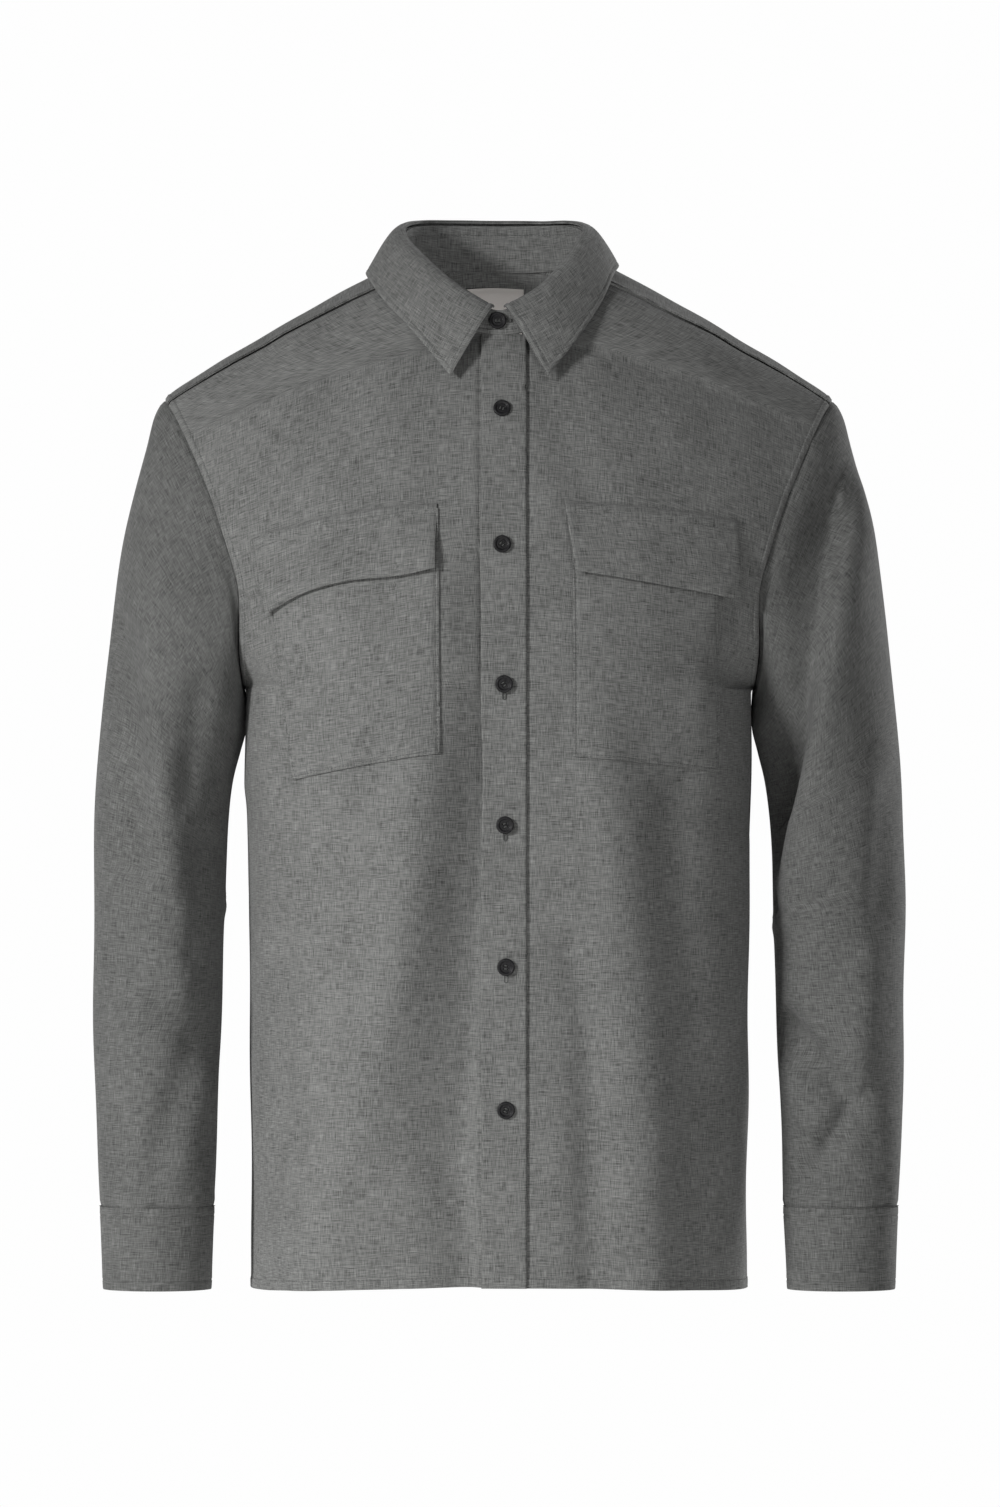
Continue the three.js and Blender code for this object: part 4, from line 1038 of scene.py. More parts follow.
def stitch_mesh(runs, pitch, long, thick):
    """Stitches along lines. A stitch is a thread of four sides and three rings over its own length t from
    -1 to 1: it rises out of the cloth as 0.5 - 0.9 t squared of its thickness, and thins as 1 - 0.6 t
    squared."""
    vertices, faces, used = [], [], 0
    t = np.array([-1, 0, 1.0])
    angle = np.radians([45, 135, 225, 315])
    k = np.arange(4)
    side = np.stack([k, (k + 1) % 4, (k + 1) % 4 + 4, k + 4], axis=1)
    own = np.concatenate([side, side + 4, [[3, 2, 1, 0]], [[8, 9, 10, 11]]])
    for points, normals in runs:
        length = run_along(points)
        count = int((length[-1] - long) / pitch)
        if count < 1:
            continue
        spare = (length[-1] - (count - 1) * pitch) / 2
        place = (spare + pitch * np.arange(count))[:, None] + t * long / 2
        up = unit(looked_up(place, length, normals))
        run = unit(looked_up(place + 0.4, length, points) - looked_up(place - 0.4, length, points))
        aside = unit(np.cross(run, up))
        middle = looked_up(place, length, points) + up * (thick * (0.5 - 0.9 * t**2))[:, None]
        radius = thick * (1 - 0.6 * t**2)[:, None]
        ring = (
            middle[:, :, None]
            + up[:, :, None] * (radius * np.cos(angle))[..., None]
            + aside[:, :, None] * (radius * np.sin(angle))[..., None]
        )
        vertices.append(ring.reshape(-1, 3))
        faces.append((own[None] + 12 * np.arange(count)[:, None, None]).reshape(-1, 4) + used)
        used += 12 * count
    return make_mesh("stitching", np.concatenate(vertices), np.concatenate(faces))


# Panels of the body

ON_ARMHOLE = 1.002  # rows past this place end on the armhole
SHOULDER_POINT, SHOULDER_FULLNESS = (241, -96), 3.0
PIECE_OFFSET = {}


def uv_offset(name):
    """Every piece is cut from its own place in the cloth."""
    PIECE_OFFSET.setdefault(name, 700.0 * len(PIECE_OFFSET))
    return PIECE_OFFSET[name]


def shoulder_swell(points):
    """The fullness over the point of the shoulder, which dies out in width and height."""
    x, z = SHOULDER_POINT
    off = ((np.abs(points[..., 0]) - x) / 26) ** 2 + ((points[..., 2] - z) / 22) ** 2
    return SHOULDER_FULLNESS * np.exp(-off)


def leaned(normal, other, distance):
    """Turns a panel's normals, near a seam, to halfway between the two cloths that meet there."""
    return unit(normal + other * dent(distance, 3.0)[..., None])


def seam_normals(side, turn):
    """The normal of the body at the armhole, for each turn round it, and that of the sleeve."""
    turn = np.mod(turn, 2 * np.pi)
    back = 2 * np.pi - BACK_SEAM_TURN
    on_yoke = (turn - FRONT_SEAM_TURN) / (back - FRONT_SEAM_TURN)
    spots = (
        (turn <= FRONT_SEAM_TURN, "front", 1 + turn / FRONT_SEAM_TURN, 2),
        ((turn > FRONT_SEAM_TURN) & (turn < back), "yoke", on_yoke, 1),
        (turn >= back, "back", 1 + (2 * np.pi - turn) / BACK_SEAM_TURN, 2),
    )
    body = np.zeros(turn.shape + (3,))
    for chosen, part, at, top in spots:
        found = cloth_normal(side, part, np.full(turn.shape, 0.99), np.clip(at, 0.004, top - 0.004))
        body = np.where(chosen[..., None], found, body)
    return body, cloth_normal(side, "sleeve", turn, np.full(turn.shape, 0.004))


def wall_of(name, base, normal, relief, thick, u, v, free=(), ring=False, swell=0.6):
    """A closed wall of cloth: the outer face is the base moved along its normal by relief and by the cloth's
    unevenness, and the inner face lies the cloth's thickness behind it. The thickness rounds off at free
    edges. Gives the piece, its outer face and that face's own normals."""
    outer = base + normal * (relief + unevenness(base, 1, swell) + shoulder_swell(base))[..., None]
    if ring:
        looped, like = (np.concatenate([k[:, -1:], k, k[:, :1]], axis=1) for k in (outer, normal))
        fine = grid_normals(looped, like)[:, 1:-1]
    else:
        fine = grid_normals(outer, normal)
    wall = np.ones(base.shape[:-1]) * thick
    for distance in free:
        wall = wall * mix(0.5, 1.0, smooth(distance / 0.9))
    inner = outer - normal * wall[..., None]
    offset = uv_offset(name)
    return shell(name, outer, inner, u + offset, v + offset * 0.37, ring), outer, fine


def hem_thickness(distance):
    """Half as thick again where the hem is turned up."""
    return CLOTH * (1 + 0.5 * smooth((8 - distance) / 1.5))


def joined(name, *pieces):
    """Joins pieces into the first one and welds the points that they share on the centre plane."""
    together = bmesh.new()
    for piece in pieces:
        together.from_mesh(piece.data)
    middle = [vertex for vertex in together.verts if abs(vertex.co.x) < 1e-7]
    bmesh.ops.remove_doubles(together, verts=middle, dist=1e-5)
    together.to_mesh(pieces[0].data)
    together.free()
    for piece in pieces[1:]:
        mesh = piece.data
        bpy.data.objects.remove(piece)
        bpy.data.meshes.remove(mesh)
    pieces[0].name = pieces[0].data.name = name
    return pieces[0]


def build_front(side):
    """A front, from the hem to the yoke seam. It starts under the placket, which both fronts share."""
    label, before = SIDE_NAMES[side], FRONT_START[side]
    beside, deep = PLACKET_GROOVE[side]

    def start(at):
        across = across_at(before, at)
        return np.maximum(across, 0) if side > 0 else np.where(at < PLACKET_TOP, across, 0)

    g = Grid(
        CLOTHS[side, "front"], OUTWARD[side, "front"],
        rows=(0.55, 0.0, 2.0, STEP, marks(HEM_STITCH), marks()),
        columns=(start, 1, STEP, marks(beside), marks(SEAM_STITCH)),
    )
    above = smooth((g.at - 1) / 0.01)
    turn = (np.maximum(g.at[:, -1], 1) - 1) * FRONT_SEAM_TURN
    normal = leaned(g.normal, seam_normals(side, turn)[1][:, None] * above[..., None], g.e)
    yoke = cloth_normal(side, "yoke", g.a[-1:], np.full_like(g.a[-1:], 0.01))
    normal = leaned(normal, yoke, g.w)
    relief = (
        ditch(g.e, 1.8) + ditch(g.w, 2.3, 1.5) + hem_relief(g.v)
        + ditch(g.u - beside, deep, 1.3) * (g.at < PLACKET_TOP)
        + above * (felled(g.e, SEAM_STITCH) + puckers(g.e, g.v, 9.0, 0.35, 1.3))
        + puckers(g.v, g.u, 9.0, 0.28, 0.4) + puckers(g.w, g.u, 8.0, 0.2, 2.0)
    )
    piece, outer, fine = wall_of(
        f"panel_front_{label}", g.points, normal, relief, hem_thickness(g.v), g.u + before, g.v, free=(g.v,)
    )
    sew_edge(outer, fine, "foot", HEM_STITCH)
    chosen = g.at[:, 0] > ON_ARMHOLE
    sew_edge(outer[chosen], fine[chosen], "end", SEAM_STITCH)
    finish_sheet(piece, outer, f"front_{label}")


def build_back():
    """The back, in one piece from side seam to side seam, from the hem to the yoke seam."""
    sides = marks(SEAM_STITCH)
    g = Grid(
        whole("back"), OUTWARD[LEFT, "back"],
        rows=(0.5, 0.0, 2.0, STEP, marks(HEM_STITCH), marks()),
        columns=(-1, 1, STEP * 1.05, sides, sides),
    )
    near = np.minimum(g.u, g.e)
    turn = 2 * np.pi - (np.maximum(g.at[:, 0], 1) - 1) * BACK_SEAM_TURN
    above = smooth((g.at - 1) / 0.01)
    normal = g.normal
    for side, distance in ((RIGHT, g.u), (LEFT, g.e)):
        normal = leaned(normal, seam_normals(side, turn)[1][:, None] * above[..., None], distance)
    yoke = normal_of(whole("yoke"), g.a[-1:], np.full_like(g.a[-1:], 0.99), OUTWARD[LEFT, "yoke"])
    normal = leaned(normal, yoke, g.w)
    relief = (
        ditch(near, 1.8) + ditch(g.w, 1.2) + hem_relief(g.v)
        + above * (felled(near, SEAM_STITCH) + puckers(near, g.v, 9.0, 0.35, 4.3))
        + puckers(g.v, g.u, 9.0, 0.28, 1.4) + puckers(g.w, g.u, 8.0, 0.25, 3.0)
    )
    piece, outer, fine = wall_of(
        "panel_back", g.points, normal, relief, hem_thickness(g.v), g.u, g.v, free=(g.v,)
    )
    sew_edge(outer, fine, "foot", HEM_STITCH)
    chosen = g.at[:, 0] > ON_ARMHOLE
    for edge in ("start", "end"):
        sew_edge(outer[chosen], fine[chosen], edge, SEAM_STITCH)
    finish_sheet(piece, outer, "back")


YOKE_CUT_PLACE = 3500.0  # where both halves of the yoke lie on the cloth
BEHIND_NECK = 0.72  # rows past this place start on the centre line


def half_yoke(side):
    """One side of the yoke: the piece and its outer face."""
    g = Grid(
        CLOTHS[side, "yoke"], OUTWARD[side, "yoke"],
        rows=(0.5, 0.0, 1.0, STEP, marks(), marks(BACK_SEAM_STITCH)),
        columns=(0, 1, STEP, marks(), marks(SEAM_STITCH)),
    )
    base, turn = g.points, mix(FRONT_SEAM_TURN, 2 * np.pi - BACK_SEAM_TURN, g.at[:, 0])
    normal = leaned(g.normal, seam_normals(side, turn)[1][:, None], g.e)
    for part, row, distance in (("front", 0, g.v), ("back", -1, g.w)):
        other = cloth_normal(side, part, g.a[row][None], np.full_like(g.a[row], 1.99)[None])
        normal = leaned(normal, other, distance)
    relief = (
        ditch(g.e, 1.8) + 0.6 * dent(g.v, 3.5) + ditch(g.w, 1.2) + felled(g.e, SEAM_STITCH)
        + stitch_line(g.w, BACK_SEAM_STITCH) + puckers(g.e, g.v, 8.0, 0.25, 1.0)
        + puckers(g.v, g.u, 8.0, 0.2, 2.0)
    )
    centre = g.at[:, 0] >= BEHIND_NECK
    base[centre, 0, 0] = normal[centre, 0, 0] = 0
    across = g.u + np.maximum(along(YOKE_ROWS, "x", g.at), 0)
    name = f"half_yoke_{side}"
    PIECE_OFFSET[name] = YOKE_CUT_PLACE
    piece, outer, fine = wall_of(name, base, unit(normal), relief, CLOTH, across * side, g.v)
    sew_edge(outer, fine, "end", SEAM_STITCH)
    sew_edge(outer, fine, "top", BACK_SEAM_STITCH)
    return piece, outer


def build_yoke():
    """The yoke, over both shoulders and down to its seam on the back, round the back of the neck. Its flat
    width is that of its back seam."""
    halves, faces = zip(*(half_yoke(side) for side in SIDE_NAMES))
    piece = joined("panel_yoke", *halves)
    finish_piece(piece, "cloth", "cloth", "yoke")
    width, length = 2 * run_along(faces[0][-1])[-1], run_along(faces[0])[-1].max()
    declare_sheet(piece, width, length, sum(map(area_of, faces)))


def build_sleeve(side):
    """A sleeve: a tube from the armhole to the cuff, with its own seam on the inner side and a slit above
    the cuff's button."""
    label = SIDE_NAMES[side]
    g = Grid(
        CLOTHS[side, "sleeve"], OUTWARD[side, "sleeve"],
        rows=(2.1, 0.0, 1.0, STEP, marks(), marks()),
        columns=(0, 2 * np.pi, STEP, marks(), marks()), ring=True,
    )
    normal = leaned(g.normal, seam_normals(side, g.a[0])[0][None], g.v)
    slit = np.abs(g.a - (CUFF_BUTTON_TURN + 0.22)) * 62
    near_cuff = smooth((92 - g.w) / 4)
    relief = (
        ditch(np.minimum(g.u, g.e), 0.8) + ditch(g.v, 1.8) + ditch(g.w, width=1.6)
        + ditch(slit, width=1.0) * near_cuff
        + puckers(g.w, g.u, 14.0, 0.9, 5.0) + puckers(g.v, g.u, 11.0, 0.4, 0.8)
        - 5.0 * dent(g.v - 5, 8) * dent(g.a - 0.85, 0.65)
    )
    name = f"sleeve_tube_{label}"
    piece, outer, _ = wall_of(name, g.points, normal, relief, CLOTH, g.u, -g.v, ring=True)
    # The sleeve takes the darker copy of the cloth: painted shade.
    finish_sheet(piece, outer, f"sleeve_{label}", finish="sleeve", ring=True)


def build_cuff(side):
    """A cuff: a doubled band, whose outer end laps over the inner one beside its button."""
    label = SIDE_NAMES[side]
    g = Grid(
        CLOTHS[side, "cuff"], OUTWARD[side, "cuff"],
        rows=(1.5, -0.01, 1.0, 2.6, marks(CUFF_STITCH), marks(HEM_STITCH)),
        columns=(0, 2 * np.pi, 2.2, marks(), marks()), ring=True,
    )
    lap_edge = (g.a - (CUFF_BUTTON_TURN + 0.24)) * 60
    over = smooth(0.5 - lap_edge) * smooth((lap_edge + 60) / 40)
    relief = (
        over - 0.25 + stitch_line(g.v, CUFF_STITCH, 0.45) + stitch_line(g.w, HEM_STITCH, 0.45)
        + stitch_line(-lap_edge, 5.0, 0.35) + rounded(g.v, 0.6, 1.4) + rounded(g.w, 0.35, 1.4)
        + puckers(g.v, g.u, 7.0, 0.18, 2.0) + puckers(g.w, g.u, 7.0, 0.15, 1.0)
    )
    piece, outer, fine = wall_of(
        f"cuff_band_{label}", g.points, g.normal, relief, 2 * CLOTH, g.u, -g.v,
        free=(g.w, g.v), ring=True, swell=0.35,
    )
    sew_edge(outer, fine, "foot", CUFF_STITCH)
    sew_edge(outer, fine, "top", HEM_STITCH)
    # The cuff takes the same darker copy of the cloth: painted shade.
    finish_sheet(piece, outer, f"cuff_{label}", finish="sleeve", ring=True)


def build_placket():
    """The button placket: a doubled strip laid on the edges of both fronts, a little wavy on its free side
    and pressed in under its buttons."""
    surface = CLOTHS[LEFT, "front"]
    at, v, _ = rows_of(surface, 0.03, 0.0, PLACKET_TOP, 2.8, marks(HEM_STITCH), marks())
    wide = PLACKET_TO - PLACKET_FROM
    x = np.concatenate([FREE_EDGE, np.linspace(1.8, wide - 1.8, 15), wide - FREE_EDGE[::-1]]) + PLACKET_FROM
    sway = 0.5 * np.sin(v / 47) + 0.35 * np.sin(v / 19 + 1)
    a = across_at(x + sway[:, None] * smooth((6 - x) / 18), at[:, None])
    at, v = np.broadcast_to(at[:, None], a.shape), np.broadcast_to(v[:, None], a.shape)
    u, e = np.broadcast_to(x - PLACKET_FROM, a.shape), np.broadcast_to(PLACKET_TO - x, a.shape)
    base, normal = surface(a, at), cloth_normal(LEFT, "front", a, at)
    relief = 2.3 + hem_relief(v, rise=0.2)
    relief += rounded(u, 0.3, 1.0) + rounded(e, 1.5, 1.0) + 0.35 * dent(u - 2, 3)
    for px, pz in zip(PLACKET_BUTTONS["x"], PLACKET_BUTTONS["z"]):
        off_x, off_z = base[..., 0] - px, base[..., 2] - pz
        relief += -0.45 * dent(np.hypot(off_x, off_z * 0.8), 8.0) + 0.3 * dent(off_z + 9, 4) * dent(off_x, 9)
    relief += puckers(e, v, 8.0, 0.16, 3.0)
    piece, outer, fine = wall_of("placket_strip", base, normal, relief, 1.6, u, v, free=(u, v))
    sew_edge(outer, fine, "foot", HEM_STITCH)
    finish_sheet(piece, outer, "button_placket")


def laid_on(name, side, sides, top, foot):
    """A piece laid on a front: its outline is drawn as seen from the front, between two rows of corners,
    with top and foot bowed up by their bow times t to the power of skew times 1 - t, scaled to 1. Gives
    its points, their normals and the distances from its two sides, its top and its foot."""
    spec = LAID_ON[name]
    (ti, to), (fi, fo) = (spec["top_in"], spec["top_out"]), (spec["foot_in"], spec["foot_out"])
    wide, high = abs(to[0] - ti[0]), abs(fi[1] - ti[1])
    columns = fine_places(wide, 2.6, sides, sides) / wide
    rows = fine_places(high, 2.6, top, foot) / high
    out, down = np.meshgrid(columns, rows)
    skew = 1 + (spec["skew"] - 1) * down
    bow = mix(spec["bow_top"], spec["bow_foot"], down) * out**skew * (1 - out)
    bow = bow * (1 + skew) ** (1 + skew) / skew**skew
    x, z = (mix(mix(ti[k], to[k], out), mix(fi[k], fo[k], out), down) for k in (0, 1))
    a, at = place_seen_at(CLOTHS[side, "front"], x, z + bow, 0.45, 1.2)
    base = CLOTHS[side, "front"](a, at)
    u, v = run_along(base, 1), run_along(base)
    return base, cloth_normal(side, "front", a, at), u, u[:, -1:] - u, v, v[-1:] - v


LAID_FROM = 60  # where a laid piece starts on the cloth, from the centre line


def build_pocket(side):
    """A patch pocket: sewn down on its sides and foot, and a little full in the middle."""
    label, sewn_marks = SIDE_NAMES[side], marks(POCKET_STITCH)
    base, normal, u, e, v, w = laid_on(f"pocket_{label}", side, sewn_marks, marks(), sewn_marks)
    sewn = np.minimum(np.minimum(u, e), w)
    relief = 1.9 + stitch_line(sewn, POCKET_STITCH, 0.7) + rounded(sewn, 0.5, 1.0)
    relief += 0.7 * smooth(sewn / 30) + puckers(sewn, u + v, 7.0, 0.22, 1.0)
    name = f"pocket_patch_{label}"
    piece, outer, fine = wall_of(name, base, normal, relief, CLOTH, side * (u + LAID_FROM), -v, free=(sewn,))
    for edge in ("start", "end", "top"):
        sew_edge(outer, fine, edge, POCKET_STITCH)
    finish_sheet(piece, outer, f"pocket_{label}")


def build_flap(side):
    """A flap: sewn down along its top and hanging free below, so it stands off more towards its foot."""
    label = SIDE_NAMES[side]
    base, normal, u, e, v, w = laid_on(f"flap_{label}", side, marks(), marks(FLAP_STITCH), marks())
    free = np.minimum(np.minimum(u, e), w)
    hang = smooth((v - 5) / 40)
    relief = 2.2 + 4.8 * hang + stitch_line(v, FLAP_STITCH, 0.8) + rounded(v, 1.5)
    relief += 0.9 * hang * dent(u - 4, 16) + rounded(free, 0.6, 1.0)
    relief += puckers(v, u, 8.0, 0.25, 2.0) + 0.4 * np.sin(u / 21 + side) * hang
    name = f"flap_patch_{label}"
    piece, outer, fine = wall_of(name, base, normal, relief, 1.5, side * (u + LAID_FROM), -v, free=(free,))
    sew_edge(outer, fine, "foot", FLAP_STITCH)
    finish_sheet(piece, outer, f"flap_{label}")


# Collar

STAND_THICK, LEAF_THICK, LABEL_THICK = 2.2, 1.9, 0.6
STAND_CUT_PLACE, LEAF_CUT_PLACE = 4200, 5600
SHOULDER_ROWS = (("front", 1.55, 2.0), ("yoke", 0.0, 1.0))


def distance_to_line(points, line):
    """The distance from each point of a grid to a line of points: the least over all its stretches."""
    start, run = line[:-1], np.diff(line, axis=0)
    flat = points.reshape(-1, 1, 3)
    t = np.clip(((flat - start) * run).sum(-1) / (run * run).sum(-1), 0, 1)
    off = flat - start - t[..., None] * run
    return np.sqrt((off * off).sum(-1).min(1)).reshape(points.shape[:-1])


def stand_foot(turn):
    """How far below its line the stand starts: further in front, where it runs on behind the placket."""
    return -0.09 - 0.24 * smooth((np.abs(turn) - 0.83) / 0.1)


def build_stand():
    """The collar stand: a doubled band round the neck, its left end lapped over its right end in front."""
    ends, foot, head = marks(STAND_END_STITCH), marks(STAND_FOOT_STITCH), marks(STAND_TOP_STITCH)
    turn, s, long = rows_of(swapped(lapped_stand), 0.5, -1.03, 1.045, 2.6, ends, ends)
    up, v, w = columns_of(swapped(lapped_stand), turn, stand_foot, 1, 2.4, foot, head)
    turn, s = np.broadcast_to(turn[:, None], up.shape), np.broadcast_to(s[:, None], up.shape)
    base = lapped_stand(turn, up)
    normal = normal_of(lapped_stand, turn, up, True)
    ends_off = np.minimum(s, long - s)
    relief = 0.1 + stitch_line(v, 4.2, 0.4) + rounded(ends_off, 0.5) + rounded(v, 0.6)
    relief += stitch_line(ends_off, STAND_END_STITCH, 0.25) * smooth((1.1 - np.abs(turn)) / 0.2)
    inward = STAND_THICK + stitch_line(w, STAND_TOP_STITCH, 0.55) + 0.25 * smooth((w - 7.5) / 1.5)
    inward += stitch_line(v, 4.2, 0.3)
    outer = base + normal * (relief + unevenness(base, 1, 0.3))[..., None]
    inner = base - normal * inward[..., None]
    piece = shell("collar_band", outer, inner, s + STAND_CUT_PLACE, v)
    back = slice(int(len(up) * 0.06), int(len(up) * 0.94))
    column = -1 - mark_at(head, STAND_TOP_STITCH)
    sew(inner[back, column], -normal[back, column])
    low = mark_at(foot, STAND_FOOT_STITCH) + 1
    sew(outer[:, low], normal[:, low])
    finish_sheet(piece, outer, "collar_stand")


def clear_of_shoulders(points, clear):
    """Moves points out along the nearest normal of the shoulders until they clear them."""
    spots, normals = [], []
    for side in SIDE_NAMES:
        for part, low, high in SHOULDER_ROWS:
            a, at = np.meshgrid(np.linspace(0, 0.75, 40), np.linspace(low, high, 30))
            spots.append(CLOTHS[side, part](a, at).reshape(-1, 3))
            normals.append(cloth_normal(side, part, a, at).reshape(-1, 3))
    spots, normals = np.concatenate(spots), np.concatenate(normals)
    flat = points.reshape(-1, 3)
    nearest = np.empty(len(flat), int)
    for part in np.array_split(np.arange(len(flat)), 12):
        nearest[part] = ((flat[part][:, None] - spots[None]) ** 2).sum(-1).argmin(1)
    height = ((flat - spots[nearest]) * normals[nearest]).sum(-1)
    push = np.maximum(clear - height, 0)
    return (flat + normals[nearest] * push[:, None]).reshape(points.shape)


def build_leaf():
    """The collar leaf: from the top of the stand it rolls outwards and falls to its free edge, stitched
    a little way in all round."""
    front, free = marks(LEAF_STITCH) * 1.15, marks(LEAF_STITCH)
    turn, s, long = rows_of(swapped(leaf_point), 0.75, -LEAF_FRONT, LEAF_FRONT, 2.7, front, front)
    down, u, e = columns_of(swapped(leaf_point), turn, 0, 1, 2.5, marks(), free)
    turn, s = np.broadcast_to(turn[:, None], down.shape), np.broadcast_to(s[:, None], down.shape)
    base = leaf_point(turn, down)
    normal = normal_of(leaf_point, turn, down, False)
    off = np.minimum(*(
        distance_to_line(base, leaf_point(np.full(60, end), np.linspace(0, 1, 60)))
        for end in (-LEAF_FRONT, LEAF_FRONT)
    ))
    edge = np.minimum(off, e)
    raised = clear_of_shoulders(base[:, -1], 1.4) - base[:, -1]
    base = clear_of_shoulders(base + raised[:, None] * down[..., None] ** 2, 0.6)
    relief = 2.1 + stitch_line(edge, LEAF_STITCH, 0.45) + rounded(edge, 0.8, 1.3)
    relief += 0.25 * dent(edge - 2.2, 1.6)
    relief += 0.25 * np.sin(s / 23 + 1) * smooth(u / 25) + puckers(edge, s, 8.0, 0.14, 2.0)
    relief += 0.2 * dent(u - 6, 7)
    outer = base + normal * (relief + unevenness(base, 5, 0.35))[..., None]
    inner = outer - normal * (LEAF_THICK * mix(0.5, 1.0, smooth(edge / 0.9)))[..., None]
    piece = shell("collar_fall", outer, inner, s + LEAF_CUT_PLACE, u)
    fine = grid_normals(outer, normal)
    rows = np.arange(len(turn))
    inside = rows[(s[:, 0] > 8) & (long - s[:, 0] > 8)]
    column = -1 - mark_at(free, LEAF_STITCH)
    sew(outer[inside, column], fine[inside, column])
    for part in (rows[: len(rows) // 6], rows[-(len(rows) // 6):][::-1]):
        sew(*(
            np.array([
                [np.interp(LEAF_STITCH, off[part, j], grid[part, j, k]) for k in range(3)]
                for j in range(1, down.shape[1] + column + 1)
            ])
            for grid in (outer, fine)
        ))
    finish_sheet(piece, outer, "collar_leaf")


def build_label():
    """The neck label: a blank woven tape inside the yoke, sewn along its top, which bows up a little, and
    hanging straight down below."""
    yoke = whole("yoke")
    across = fine_places(LABEL_WIDE, 1.6, FREE_EDGE, FREE_EDGE)
    rows = fine_places(LABEL_HIGH, 1.6, FREE_EDGE, FREE_EDGE)
    x, z = np.meshgrid(LABEL_X - LABEL_WIDE / 2 + across, LABEL_TOP - rows)
    t = (x - LABEL_X) / (LABEL_WIDE / 2)
    z = z + 1.1 * (1 - t**2) * smooth((z - LABEL_TOP + 20) / 20)
    a, at = place_seen_at(yoke, x, z, 0.0, 0.8, -1)
    base = yoke(a, at)
    u, v = x - x.min(), LABEL_TOP + 2 - z
    straight = smooth(v / 6)[..., None]
    base = mix(base, stack(x, base[:1, :, 1] + 0.06 * v, z), straight)
    normal = unit(mix(-normal_of(yoke, a, at, OUTWARD[LEFT, "yoke"]), np.array([0, -1.0, 0.02]), straight))
    edge = np.minimum.reduce([u, u.max() - u, v - v.min(), v.max() - v])
    relief = 2.6 + 0.5 * np.sin(u / 9 + 0.6) * smooth(v / 20) + 0.3 * smooth(v / 8) + rounded(edge, 0.3, 0.8)
    outer = base + normal * relief[..., None]
    piece = shell("label_tape", outer, outer - normal * LABEL_THICK, u, v)
    finish_sheet(piece, outer, "label", finish="label", slot="label")


# Buttons

def button_height(x, y, radius):
    """A button's face: flat in the middle and higher on its rounded rim, with a shallow groove between,
    pierced by four small pits. Heights in millimetres over its back."""
    r = np.hypot(x, y) / radius
    face = 1.75 + 0.85 * smooth((r - 0.60) / 0.16) - 0.12 * dent(r - 0.56, 0.05)
    face = face - 1.0 * smooth((r - 0.88) / 0.12) ** 2
    for px, py in ((1, 1), (-1, 1), (-1, -1), (1, -1)):
        off = np.hypot(x - 1.15 * px, y - 1.15 * py)
        face = face - 1.1 * smooth((0.78 - off) / 0.3)
    return face


AROUND = 48  # points round a button


def button_mesh(name, centre, normal, up, diameter):
    """A button as a polar grid: rings from the middle of the face over the rim, round the side and back to
    the middle of the back, turned to its normal."""
    radius = diameter / 2
    rings = np.concatenate([np.linspace(0.02, 0.56, 14), np.linspace(0.6, 1.0, 13)]) * radius
    angle = np.linspace(0, 2 * np.pi, AROUND + 1)[:-1]
    r, t = np.meshgrid(rings, angle, indexing="ij")
    face = stack(r * np.cos(t), r * np.sin(t), button_height(r * np.cos(t), r * np.sin(t), radius))
    back_r = np.array([1.0, 0.97, 0.85, 0.5, 0.02])[:, None] * radius
    back_h = np.array([1.0, 0.5, 0.15, 0.0, 0.0])[:, None]
    rows = np.concatenate([face, stack(back_r * np.cos(angle), back_r * np.sin(angle), back_h)])
    faces = cells(grid_index(len(rows), AROUND, ring=True))[:, [0, 3, 2, 1]]
    caps = np.array([[k, k + 1, AROUND - 2 - k, AROUND - 1 - k] for k in range(AROUND // 2 - 1)])
    faces = np.concatenate([faces, caps, (caps + (len(rows) - 1) * AROUND)[:, ::-1]])
    z = unit(normal)
    x = unit(np.cross(up, z))
    return make_mesh(name, centre + rows.reshape(-1, 3) @ np.stack([x, np.cross(z, x), z]), faces)


def tube(path, radius, up, sides=6):
    """A closed ring of thread along a looped path: a circle of the radius carried along it."""
    run = unit(np.roll(path, -1, axis=0) - np.roll(path, 1, axis=0))
    aside = unit(np.cross(run, up))
    rise = np.cross(aside, run)
    angle = np.linspace(0, 2 * np.pi, sides + 1)[:-1, None]
    ring = path[:, None] + radius * (aside[:, None] * np.cos(angle) + rise[:, None] * np.sin(angle))
    return ring.reshape(-1, 3), cells(grid_index(len(path), sides, ring=True, loop=True))


def buttonhole_path(centre, run, aside, long, wide):
    """The edge of a buttonhole: two straight sides joined by half circles, worked round in 40 steps."""
    t = np.linspace(0, 2 * np.pi, 41)[:-1]
    straight = np.clip(np.cos(t) * 4, -1, 1) * (long - wide) / 2
    return centre + run * (straight + np.cos(t) * wide / 2)[:, None] + aside * (np.sin(t) * wide / 2)[:, None]


THREAD_RADIUS, HOLE_OFF, HOLE_WIDE = 0.42, 1.15, 2.4


def thread_loop(centre, normal, x, y, side):
    """The loop of thread through the two holes on one side of a button."""
    t = np.linspace(0, 2 * np.pi, 25)[:-1, None]
    rise = normal * (0.85 * np.sin(t))
    return centre + normal * 1.15 + x * (HOLE_OFF * side) + y * (HOLE_OFF * np.cos(t)) + rise


